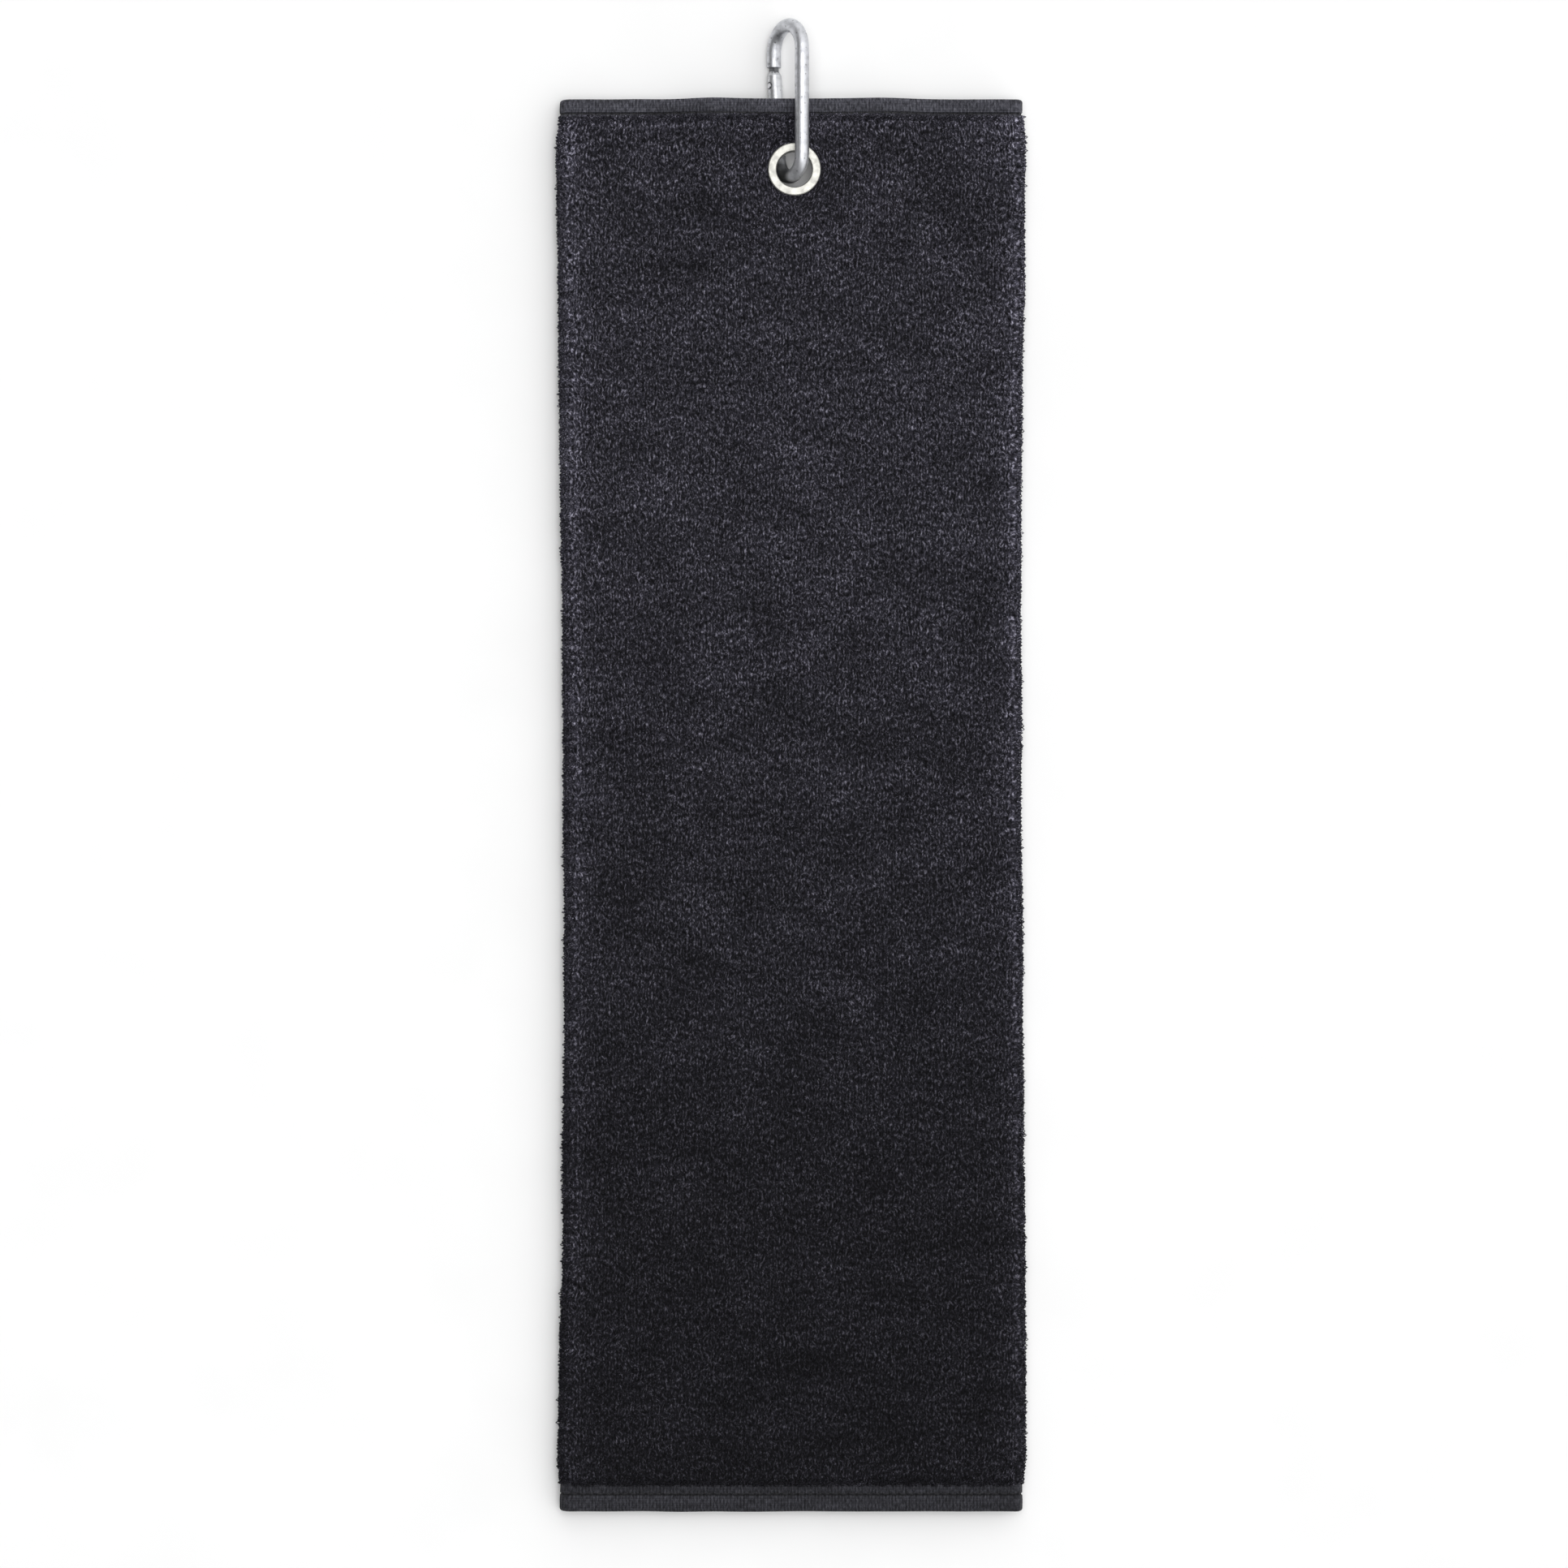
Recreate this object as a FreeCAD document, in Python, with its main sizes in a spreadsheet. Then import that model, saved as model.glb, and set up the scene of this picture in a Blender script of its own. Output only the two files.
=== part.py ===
import FreeCAD, Part
import math
import os
import re
import Sketcher

# Tri-fold golf towel lying on its flaps, with an eyelet through all three layers and a snap clip through the
# eyelet. Millimetres. +Y runs up the towel to the clip, +Z away from the surface that it lies on.
# The origin is the middle of the whole object's footprint, on that surface.

document = FreeCAD.newDocument("golf_towel")
Vector = FreeCAD.Vector

# ---------------------------------------------------------------- driving dimensions

SIZES = {
    # cloth
    "towel_width": 165.6,
    "towel_length": 500,
    "cloth_thickness": 3.0,
    "layer_gap": 0.1,
    "end_hem": 10,
    "hem_seam": 0.05,
    "side_hem": 8,
    "inner_panel_reach": 140,
    "outer_panel_reach": 148,
    "thread_diameter": 0.5,
    "stitch_pitch": 3.0,
    "stitch_length": 2.3,
    "stitch_inset": 5.5,
    "stitch_lift": 0.1,
    # the stack where it is lifted over the clip's lower leg, at the eyelet and at the top edge
    "eyelet_underside": 10.15,
    "eyelet_topside": 12.45,
    "edge_underside": 11.0,
    "edge_topside": 14.2,
    "ridge_half_width": 28,
    "ridge_reach": 52,
    "ramp_length": 90,
    "ramp_overrun": 15,
    # eyelet
    "eyelet_setback": 25,
    "eyelet_offset": 1.2,
    "eyelet_bore": 12.6,
    "eyelet_rim": 18.7,
    "eyelet_metal": 0.6,
    "rim_height": 0.9,
    "rim_round": 0.5,
    "roll_width": 1.7,
    "roll_rise": 0.7,
    "roll_drop": 0.2,
    "seat_clearance": 0.2,
    "metal_gap": 0.02,
    "washer_thickness": 0.45,
    "washer_fit": 0.05,
    "washer_bevel": 0.3,
    # clip
    "clip_rod": 5.0,
    "clip_length": 58.6,
    "clip_overhang": 28.7,
    "clip_tilt": 56.6,
    "crown_radius": 9,
    "heel_radius": 7.5,
    "spine_right_of_eyelet": 2.7,
    "heel_gap": 3.1,
    "heel_shoulder_length": 0.5,
    "nose_drop": 5.0,
    "tongue_thickness": 1.8,
    "tongue_clearance": 0.12,
    "tongue_inset": 0.3,
    "tongue_root": 1,
    "nose_tongue_length": 9.4,
    "nose_tongue_width": 3.4,
    "gate_length": 27.2,
    "gate_lean": 6.2,
    "gate_slot_depth": 3.2,
    "gate_tip_slot": 8.4,
    "gate_wall": 0.6,
    "gate_tip_length": 1.6,
    "gate_tip_taper": 0.9,
    "latch_from_tip": 5.2,
    "latch_diameter": 2.0,
    "latch_play": 0.3,
    "rivet_diameter": 1.6,
    "pin_clearance": 0.05,
    "pin_stand_out": 0.15,
    "pin_chamfer": 0.2,
    "recess_width": 0.35,
    "recess_depth": 0.8,
    "spring_bore": 2.7,
    "spring_outside": 2.3,
    "spring_wire": 0.35,
    "spring_pitch": 1.1,
    "spring_length": 7.7,
    "plunger_length": 2.2,
    "plunger_setback": 0.3,
    "spring_end_room": 0.2,
}

sheet = document.addObject("Spreadsheet::Sheet", "Sizes")
for row, (word, value) in enumerate(SIZES.items(), start=1):
    sheet.set(f"A{row}", word)
    sheet.set(f"B{row}", str(value))
    sheet.setAlias(f"B{row}", word)
document.recompute()


def derive(word, formula):
    """Adds a cell worked out from the others."""
    derive.row += 1
    sheet.set(f"A{derive.row}", word)
    sheet.set(f"B{derive.row}", "=" + formula)
    sheet.setAlias(f"B{derive.row}", word)
    document.recompute()


derive.row = len(SIZES)
derive("layer_pitch", "cloth_thickness + layer_gap")
derive("stack_height", "3 * cloth_thickness + 2 * layer_gap")
derive("crown_end", "(towel_length + clip_overhang) / 2")
derive("top_edge", "crown_end - clip_overhang")
derive("bottom_edge", "-crown_end")
derive("bend_line", "(top_edge + bottom_edge) / 2")
derive("inner_fold_radius", "cloth_thickness + layer_gap / 2")
derive("outer_fold_radius", "stack_height / 2")
derive("left_end", "-towel_width / 2 + outer_fold_radius")
derive("right_end", "towel_width / 2 - inner_fold_radius")
derive("eyelet_y", "top_edge - eyelet_setback")
derive("washer_bottom", "eyelet_underside - washer_thickness")
derive("rod_radius", "clip_rod / 2")
derive("spine_height", "rod_radius + 2 * crown_radius * sin(clip_tilt)")
derive("rivet_y", "crown_end - clip_length + rod_radius + heel_radius + heel_gap + heel_shoulder_length")
derive("spine_out", "2 * heel_radius")
derive("nose_in", "2 * heel_radius - 2 * crown_radius")
derive("heel_centre", "-heel_gap - heel_shoulder_length")
derive("crown_centre", "crown_end - rod_radius - crown_radius - rivet_y")
derive("nose_end", "crown_centre - nose_drop")
derive("plunger_foot", "gate_slot_depth + plunger_setback")
derive("latch_out", "gate_length - latch_from_tip")
derive("latch_x", "-latch_out * sin(gate_lean)")
derive("latch_y", "latch_out * cos(gate_lean)")


def size(word):
    return float(sheet.get(word))


def bind(thing, **formulas):
    """Binds properties to sheet cells: bind(cylinder, Radius="rod_radius"). A double underscore is a dot."""
    for name, formula in formulas.items():
        thing.setExpression(name.replace("__", "."), on_sheet(formula))


def on_sheet(formula):
    """The formula with each of the sheet's words pointed at the sheet."""
    words = {sheet.get(f"A{row}") for row in range(1, derive.row + 1)}
    return re.sub("[a-z_]+", lambda found: "Sizes." + found[0] if found[0] in words else found[0], formula)


SUB_PARTS = []


def sub_part(thing, name):
    """Marks a finished object as a sub-part, named as its file is."""
    thing.Label = name
    SUB_PARTS.append(thing)
    return thing


# ---------------------------------------------------------------- primitives and sketches


def primitive(kind, name, at=("0", "0", "0"), turn=None, **formulas):
    """A Part primitive with its sizes and its place bound to the sheet."""
    thing = document.addObject("Part::" + kind, name)
    if turn:
        axis, degrees = turn
        thing.Placement.Rotation = FreeCAD.Rotation(axis, degrees)
    bind(thing, Placement__Base__x=at[0], Placement__Base__y=at[1], Placement__Base__z=at[2], **formulas)
    return thing


def fused(name, *shapes):
    thing = document.addObject("Part::MultiFuse", name)
    thing.Shapes = list(shapes)
    return thing


def cut(name, base, *tools):
    thing = document.addObject("Part::Cut", name)
    thing.Base = base
    thing.Tool = tools[0] if len(tools) == 1 else fused(name + "_tools", *tools)
    return thing


def body_sketch(body, name, role):
    """A sketch on one of the body's own origin planes."""
    sketch = body.newObject("Sketcher::SketchObject", name)
    plane = next(f for f in body.Origin.OriginFeatures if f.Role == role)
    sketch.AttachmentSupport = [(plane, "")]
    sketch.MapMode = "FlatFace"
    return sketch


def pin_point(sketch, item, end, formulas, along_x=True, along_y=True):
    """Holds a point of a sketch at its distances from the sketch's origin, bound to the sheet."""
    for wanted, kind, axis, formula in (
        (along_x, "DistanceX", -2, formulas[0]),
        (along_y, "DistanceY", -1, formulas[1]),
    ):
        value = sheet_value(formula)
        if not wanted:
            continue
        if abs(value) < 1e-9:
            sketch.addConstraint(Sketcher.Constraint("PointOnObject", item, end, axis))
            continue
        number = sketch.addConstraint(Sketcher.Constraint(kind, -1, 1, item, end, value))
        sketch.setExpression(f"Constraints[{number}]", on_sheet(formula))


def sheet_value(formula):
    value = sheet.evalExpression(on_sheet(formula).replace("Sizes.", ""))
    return float(getattr(value, "Value", value))


def outline(sketch, corners):
    """A closed outline through corners (x, y) given as formulas. A corner (x, y, centre_x, centre_y, turn) is
    reached by an arc about that centre, anticlockwise where turn is 1 and clockwise where it is -1."""
    points = [tuple(sheet_value(f) for f in corner[:4]) for corner in corners]
    ends = []
    for index, corner in enumerate(corners):
        start = points[index - 1][:2]
        stop = points[index][:2]
        if len(corner) == 2:
            item = sketch.addGeometry(Part.LineSegment(Vector(*start, 0), Vector(*stop, 0)))
            ends.append((item, 1, 2))
        else:
            item = sketch.addGeometry(arc_about(points[index][2:], start, stop, corner[4]))
            ends.append((item, 1, 2) if corner[4] > 0 else (item, 2, 1))
            upright = abs(stop[0] - start[0]) < abs(stop[1] - start[1])
            pin_point(sketch, item, 3, corner[2:4], along_x=upright, along_y=not upright)
        pin_point(sketch, item, ends[-1][2], corner[:2])
    for before, after in zip(ends[-1:] + ends[:-1], ends):
        sketch.addConstraint(Sketcher.Constraint("Coincident", before[0], before[2], after[0], after[1]))


def arc_about(centre, start, stop, turn):
    if turn < 0:
        start, stop = stop, start
    angles = [math.atan2(y - centre[1], x - centre[0]) for x, y in (start, stop)]
    circle = Part.Circle(Vector(*centre, 0), Vector(0, 0, 1), math.dist(centre, start))
    return Part.ArcOfCircle(circle, *angles)


def revolved(name, role, corners, axis_name):
    """A body made by turning one closed outline a full turn about a sketch axis."""
    body = document.addObject("PartDesign::Body", name + "_body")
    sketch = body_sketch(body, name + "_section", role)
    outline(sketch, corners)
    turned = body.newObject("PartDesign::Revolution", name + "_turned")
    turned.Profile = sketch
    turned.ReferenceAxis = (sketch, [axis_name])
    turned.Angle = 360
    return body


# ---------------------------------------------------------------- cloth

LAYERS = {"outer": 0, "inner": 1, "middle": 2}
PATCH_SPAN = 8


def smooth(share):
    """0 to 1, level at both ends."""
    share = min(max(share, 0), 1)
    return share * share * (3 - 2 * share)


def ridge(x):
    """1 along the eyelet's line, where the stack is lifted over the clip's lower leg, and 0 at the sides."""
    slope = size("ridge_reach") - size("ridge_half_width")
    return 1 - smooth((abs(x - size("eyelet_offset")) - size("ridge_half_width")) / slope)


def stack_face(x, y, share):
    """Height in the stack, from its underside (share 0) to its top (share 1), at a place on the towel."""
    ramp_foot = size("eyelet_y") - size("ramp_length") - size("ramp_overrun")
    rise = ridge(x) * smooth((y - ramp_foot) / size("ramp_length"))
    beyond = smooth((y - size("eyelet_y")) / size("eyelet_setback"))
    flat = share * size("stack_height")
    under = size("eyelet_underside") + beyond * (size("edge_underside") - size("eyelet_underside"))
    over = size("eyelet_topside") + beyond * (size("edge_topside") - size("eyelet_topside"))
    lifted = under + share * (over - under)
    return flat + rise * (lifted - flat)


def pole_places(low, high, spans):
    """Where a clamped cubic spline's poles stand so that it runs evenly from low to high."""
    step = (high - low) / spans
    knots = [low] * 3 + [low + step * n for n in range(spans + 1)] + [high] * 3
    return [sum(knots[n : n + 3]) / 3 for n in range(1, spans + 4)]


def cloth_surface(share, left, right, front, back):
    """One smooth face of the stack, cut from a face that spans the whole upper half of the towel."""
    sides = (size("left_end"), size("right_end"))
    ends = (size("bend_line"), size("top_edge"))
    spans = [round((high - low) / PATCH_SPAN) for low, high in (sides, ends)]
    rows = pole_places(*sides, spans[0])
    columns = pole_places(*ends, spans[1])
    poles = [[Vector(x, y, stack_face(x, y, share)) for y in columns] for x in rows]
    knots = [[low + (high - low) * n / count for n in range(count + 1)]
             for (low, high), count in zip((sides, ends), spans)]
    repeats = [[4] + [1] * (count - 1) + [4] for count in spans]
    surface = Part.BSplineSurface()
    surface.buildFromPolesMultsKnots(poles, *repeats, *knots, False, False, 3, 3)
    surface.segment(left, right, front, back)
    return surface


def domed_cloth(name, layer, left, right, front, back):
    """One layer of cloth where the stack is lifted: the space between two smooth faces of the stack."""
    thin = size("layer_gap") / size("stack_height") / 2
    low_share = layer / 3 + (thin if layer else 0)
    high_share = (layer + 1) / 3 - (thin if layer < 2 else 0)
    faces = [cloth_surface(share, left, right, front, back) for share in (low_share, high_share)]
    rims = [[face.uIso(left), face.uIso(right), face.vIso(front), face.vIso(back)] for face in faces]
    walls = [Part.makeRuledSurface(a.toShape(), b.toShape()) for a, b in zip(*rims)]
    shell = Part.makeShell([face.toShape() for face in faces] + walls)
    shell.sewShape()
    thing = document.addObject("Part::Feature", name)
    thing.Shape = Part.Solid(shell)
    thing.Placement = FreeCAD.Placement()
    return thing


def flat_cloth(name, layer, left, right, front, back):
    """A flat stretch of one layer of cloth, its sides given as formulas."""
    return primitive(
        "Box",
        name,
        at=(left, front, f"{layer} * layer_pitch"),
        Length=f"{right} - ({left})",
        Width=f"{back} - ({front})",
        Height="cloth_thickness",
    )


def side_fold(name, side, radius, centre_height, front, back):
    """A rolled fold that joins two layers along one side of the towel: half a tube, running up the towel."""
    body = document.addObject("PartDesign::Body", name + "_body")
    sketch = body_sketch(body, name + "_section", "XZ_Plane")
    inside = f"({radius} - cloth_thickness)"
    corners = [
        ("0", f"-{inside}"),
        ("0", inside, "0", "0", side),
        ("0", radius),
        ("0", f"-{radius}", "0", "0", -side),
    ]
    outline(sketch, corners)
    run = body.newObject("PartDesign::Pad", name + "_run")
    run.Profile = sketch
    bind(run, Length=f"{back} - ({front})")
    bind(
        body,
        Placement__Base__x="left_end" if side < 0 else "right_end",
        Placement__Base__y=back,
        Placement__Base__z=centre_height,
    )
    return sub_part(body, name)


def stitch_row(name, y, cloth_height):
    """Separate stitches of one lock-stitched row, lying on the middle panel at the cloth's height there."""
    radius = size("thread_diameter") / 2
    pitch = size("stitch_pitch")
    run = size("right_end") - size("left_end")
    count = int(run / pitch) - 1
    stitches = []
    for n in range(count):
        x = size("left_end") + pitch * (n + 1)
        places = (x, x + size("stitch_length"))
        ends = [Vector(place, y, cloth_height(place, y) + radius + size("stitch_lift")) for place in places]
        run_of_thread = ends[1] - ends[0]
        stitches.append(Part.makeCylinder(radius, run_of_thread.Length, ends[0], run_of_thread))
    thing = document.addObject("Part::Feature", name)
    thing.Shape = Part.makeCompound(stitches)
    thing.Placement = FreeCAD.Placement()
    return sub_part(thing, name)


def panel_sides(layer):
    """The left and right ends of a panel's plain cloth, as formulas: each flap stops at its side hem."""
    return {
        "middle": ("left_end", "right_end"),
        "inner": ("right_end - inner_panel_reach", "right_end"),
        "outer": ("left_end", "left_end + outer_panel_reach"),
    }[layer]


def side_hem_sides(layer):
    if layer == "inner":
        return "right_end - inner_panel_reach - side_hem", "right_end - inner_panel_reach"
    return "left_end + outer_panel_reach", "left_end + outer_panel_reach + side_hem"


def hem_sides(layer):
    """The end hems run on across the side hem to the cloth's free edge."""
    left, right = panel_sides(layer)
    if layer == "inner":
        return side_hem_sides(layer)[0], right
    if layer == "outer":
        return left, side_hem_sides(layer)[1]
    return left, right


# The hole for the barrel, and the seats that the rim and the washer press into the cloth.
barrel_hole = primitive(
    "Cylinder", "barrel_hole", at=("eyelet_offset", "eyelet_y", "0"),
    Radius="eyelet_bore / 2 + eyelet_metal + seat_clearance", Height="3 * stack_height",
)
washer_seat = primitive(
    "Cylinder", "washer_seat", at=("eyelet_offset", "eyelet_y", "0"),
    Radius="eyelet_rim / 2 + seat_clearance", Height="eyelet_underside + metal_gap",
)
rim_seat = primitive(
    "Cylinder", "rim_seat", at=("eyelet_offset", "eyelet_y", "eyelet_topside - metal_gap"),
    Radius="eyelet_rim / 2 + seat_clearance", Height="stack_height",
)
eyelet_seat = fused("eyelet_seat", barrel_hole, washer_seat, rim_seat)

for layer_name, layer in LAYERS.items():
    left, right = panel_sides(layer_name)
    hem_left, hem_right = hem_sides(layer_name)
    upper = domed_cloth(
        layer_name + "_sheet", layer, sheet_value(left), sheet_value(right),
        sheet_value("bend_line"), sheet_value("top_edge - end_hem - hem_seam"),
    )
    sub_part(cut(layer_name + "_pierced", upper, eyelet_seat), layer_name + "_panel_upper")
    top_hem = domed_cloth(
        layer_name + "_top", layer, sheet_value(hem_left), sheet_value(hem_right),
        sheet_value("top_edge - end_hem"), sheet_value("top_edge"),
    )
    sub_part(top_hem, layer_name + "_top_hem")
    lower = flat_cloth(
        layer_name + "_lower", layer, left, right,
        "bottom_edge + end_hem + hem_seam", "bend_line - layer_gap",
    )
    sub_part(lower, layer_name + "_panel_lower")
    bottom_hem = flat_cloth(
        layer_name + "_bottom", layer, hem_left, hem_right, "bottom_edge", "bottom_edge + end_hem",
    )
    sub_part(bottom_hem, layer_name + "_bottom_hem")
    if layer_name == "middle":
        continue
    hem_left, hem_right = side_hem_sides(layer_name)
    for half, front, back in (
        ("upper", "bend_line", "top_edge - end_hem - hem_seam"),
        ("lower", "bottom_edge + end_hem + hem_seam", "bend_line - layer_gap"),
    ):
        side_hem = flat_cloth(f"{layer_name}_side_{half}", layer, hem_left, hem_right, front, back)
        sub_part(side_hem, f"{layer_name}_side_hem_{half}")

for half, front, back in (
    ("upper", "bend_line", "top_edge"),
    ("lower", "bottom_edge", "bend_line - layer_gap"),
):
    side_fold("left_fold_" + half, -1, "outer_fold_radius", "stack_height / 2", front, back)
    side_fold("right_fold_" + half, 1, "inner_fold_radius", "layer_pitch + inner_fold_radius", front, back)

top_face = cloth_surface(1, size("left_end"), size("right_end"), size("bend_line"), size("top_edge"))
top_row = size("top_edge") - size("stitch_inset")
bottom_row = size("bottom_edge") + size("stitch_inset")
stitch_row("top_hem_thread", top_row, lambda x, y: top_face.value(x, y).z)
stitch_row("bottom_hem_thread", bottom_row, lambda x, y: size("stack_height"))

# ---------------------------------------------------------------- eyelet

BORE = "eyelet_bore / 2"
RIM = "eyelet_rim / 2"
BARREL = f"{BORE} + eyelet_metal"
ROLL = "washer_bottom - roll_drop"
RIM_TOP = "eyelet_topside + rim_height"
RIM_SHOULDER = f"{RIM_TOP} - rim_round"
eyelet = revolved(
    "eyelet",
    "XZ_Plane",
    [
        (BORE, ROLL, f"{BORE} + roll_width / 2", f"{ROLL} + roll_rise", -1),
        (BORE, RIM_SHOULDER),
        (f"{BORE} + rim_round", RIM_TOP, f"{BORE} + rim_round", RIM_SHOULDER, -1),
        (f"{RIM} - rim_round", RIM_TOP),
        (RIM, RIM_SHOULDER, f"{RIM} - rim_round", RIM_SHOULDER, -1),
        (RIM, "eyelet_topside"),
        (BARREL, "eyelet_topside"),
        (BARREL, "washer_bottom"),
        (f"{BORE} + roll_width", "washer_bottom"),
        (f"{BORE} + roll_width", ROLL),
    ],
    "V_Axis",
)
bind(eyelet, Placement__Base__x="eyelet_offset", Placement__Base__y="eyelet_y")
sub_part(eyelet, "eyelet")

washer = revolved(
    "eyelet_washer",
    "XZ_Plane",
    [
        (f"{BARREL} + washer_fit", "washer_bottom + metal_gap"),
        (f"{BARREL} + washer_fit", "eyelet_underside"),
        (RIM, "eyelet_underside"),
        (RIM, "washer_bottom + washer_thickness / 2"),
        (f"{RIM} - washer_bevel", "washer_bottom + metal_gap"),
    ],
    "V_Axis",
)
bind(washer, Placement__Base__x="eyelet_offset", Placement__Base__y="eyelet_y")
sub_part(washer, "eyelet_washer")

# ---------------------------------------------------------------- clip
# The clip is laid out in its own plane, with the gate's rivet at the origin, the spine on the +X side and the
# crown towards +Y. It is then tipped about Y, so that the spine stands over the cloth and the gate lies
# under it.

X_AXIS = Vector(1, 0, 0)
Y_AXIS = Vector(0, 1, 0)
Z_AXIS = Vector(0, 0, 1)
ALONG_Y = (X_AXIS, -90)


def clip_placement(lean=0):
    tilt = math.radians(size("clip_tilt"))
    spine_x = size("eyelet_offset") + size("spine_right_of_eyelet")
    rivet = Vector(
        spine_x - size("spine_out") * math.cos(tilt),
        size("rivet_y"),
        size("spine_height") - size("spine_out") * math.sin(tilt),
    )
    tip = FreeCAD.Rotation(Y_AXIS, -size("clip_tilt"))
    return FreeCAD.Placement(rivet, tip.multiply(FreeCAD.Rotation(Z_AXIS, lean)))


def flat_bar(name, at, length, width, thickness="tongue_thickness"):
    """A bar lying in the clip's plane, centred on it in thickness, with its low corner at `at`."""
    return primitive(
        "Box", name, at=(*at, f"-({thickness}) / 2"), Length=length, Width=width, Height=thickness
    )


def cross_rod(name, at, diameter, length="2 * clip_rod"):
    """A round bar across the clip's plane, centred on it."""
    return primitive(
        "Cylinder", name, at=(*at, f"-({length}) / 2"), Radius=f"({diameter}) / 2", Height=length
    )


spine = primitive(
    "Cylinder", "spine", at=("spine_out", "heel_centre", "0"), turn=ALONG_Y,
    Radius="rod_radius", Height="crown_centre - heel_centre",
)
crown = primitive(
    "Torus", "crown", at=("spine_out - crown_radius", "crown_centre", "0"),
    Radius1="crown_radius", Radius2="rod_radius", Angle3="180",
)
heel = primitive(
    "Torus", "heel", at=("heel_radius", "heel_centre", "0"), turn=(X_AXIS, 180),
    Radius1="heel_radius", Radius2="rod_radius", Angle3="180",
)
heel_shoulder = primitive(
    "Cylinder", "heel_shoulder", at=("0", "heel_centre", "0"), turn=ALONG_Y,
    Radius="rod_radius", Height="-heel_gap - heel_centre",
)
nose = primitive(
    "Cylinder", "nose", at=("nose_in", "nose_end", "0"), turn=ALONG_Y,
    Radius="rod_radius", Height="nose_drop",
)
heel_tongue = flat_bar(
    "heel_tongue", ("-rod_radius + tongue_inset", "-heel_gap - tongue_root"),
    "clip_rod - 2 * tongue_inset", "heel_gap + tongue_root",
)
heel_eye = cross_rod("heel_eye", ("0", "0"), "clip_rod - 2 * tongue_inset", "tongue_thickness")
rivet_hole = cross_rod("rivet_hole", ("0", "0"), "rivet_diameter")

nose_tongue = flat_bar(
    "nose_tongue", ("nose_in - nose_tongue_width / 2", "nose_end - nose_tongue_length"),
    "nose_tongue_width", "nose_tongue_length + tongue_root",
)
latch_room = "latch_diameter + latch_play"
latch_seat = cross_rod("latch_seat", ("latch_x", "latch_y"), latch_room)
latch_mouth = flat_bar(
    "latch_mouth", ("latch_x", f"latch_y - ({latch_room}) / 2"), "clip_rod", latch_room, "clip_rod"
)
bent_rod = fused("bent_rod", spine, crown, heel, heel_shoulder, nose)
frame_stock = fused("frame_stock", bent_rod, heel_tongue, heel_eye, nose_tongue)
clip_frame = cut("clip_frame_cut", frame_stock, rivet_hole, latch_seat, latch_mouth)
clip_frame.Placement = clip_placement()
sub_part(clip_frame, "clip_frame")

gate_rod = primitive(
    "Cylinder", "gate_rod", turn=ALONG_Y,
    Radius="rod_radius", Height="gate_length - gate_tip_length",
)
gate_foot = primitive("Sphere", "gate_foot", Radius="rod_radius")
gate_tip = primitive(
    "Cone", "gate_tip", at=("0", "gate_length - gate_tip_length", "0"), turn=ALONG_Y,
    Radius1="rod_radius", Radius2="rod_radius - gate_tip_taper", Height="gate_tip_length",
)
slot = "tongue_thickness + 2 * tongue_clearance"
foot_slot = flat_bar(
    "foot_slot", ("-clip_rod", "-clip_rod"), "2 * clip_rod", "clip_rod + gate_slot_depth", slot
)
# The tip's slot is open to the outside of the clip only: a thin wall closes its inner side.
tip_slot = flat_bar(
    "tip_slot", ("-clip_rod", "gate_length - gate_tip_slot"),
    "clip_rod + rod_radius - gate_wall", "2 * gate_tip_slot", slot,
)
spring_bore = primitive(
    "Cylinder", "spring_bore_tool", turn=ALONG_Y,
    Radius="spring_bore / 2", Height="gate_slot_depth + plunger_length + spring_length + 2 * spring_end_room",
)
rivet_room = cross_rod("rivet_room", ("0", "0"), "rivet_diameter + 2 * pin_clearance")
latch_hole = cross_rod("latch_hole", ("0", "latch_out"), "latch_diameter + metal_gap")
PIN_RECESS_FEET = {
    "front": "rod_radius - recess_depth",
    "back": "recess_depth - rod_radius - clip_rod",
}
pin_recesses = [
    primitive(
        "Cylinder", "pin_recess_" + side, at=("0", "latch_out", foot),
        Radius="latch_diameter / 2 + recess_width", Height="clip_rod",
    )
    for side, foot in PIN_RECESS_FEET.items()
]
gate_stock = fused("gate_stock", gate_rod, gate_foot, gate_tip)
gate = cut("gate_cut", gate_stock, foot_slot, tip_slot, spring_bore, rivet_room, latch_hole, *pin_recesses)
gate.Placement = clip_placement(size("gate_lean"))
sub_part(gate, "gate")


def headed_pin(name, diameter, along, lean=0):
    """A pin across the clip's plane with its two ends chamfered, made as a padded circle."""
    body = document.addObject("PartDesign::Body", name + "_body")
    sketch = body_sketch(body, name + "_section", "XY_Plane")
    circle = sketch.addGeometry(Part.Circle(Vector(0, 0, 0), Z_AXIS, size(diameter) / 2))
    sketch.addConstraint(Sketcher.Constraint("Coincident", circle, 3, -1, 1))
    number = sketch.addConstraint(Sketcher.Constraint("Diameter", circle, size(diameter)))
    sketch.setExpression(f"Constraints[{number}]", on_sheet(diameter))
    shank = body.newObject("PartDesign::Pad", name + "_shank")
    shank.Profile = sketch
    shank.Midplane = True
    bind(shank, Length="clip_rod + 2 * pin_stand_out")
    document.recompute()
    rims = [f"Edge{n + 1}" for n, edge in enumerate(shank.Shape.Edges) if edge.isClosed()]
    ends = body.newObject("PartDesign::Chamfer", name + "_ends")
    ends.Base = (shank, rims)
    bind(ends, Size="pin_chamfer")
    up_the_gate = FreeCAD.Placement(Vector(0, size(along) if along else 0, 0), FreeCAD.Rotation())
    body.Placement = clip_placement(lean).multiply(up_the_gate)
    return sub_part(body, name)


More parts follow.
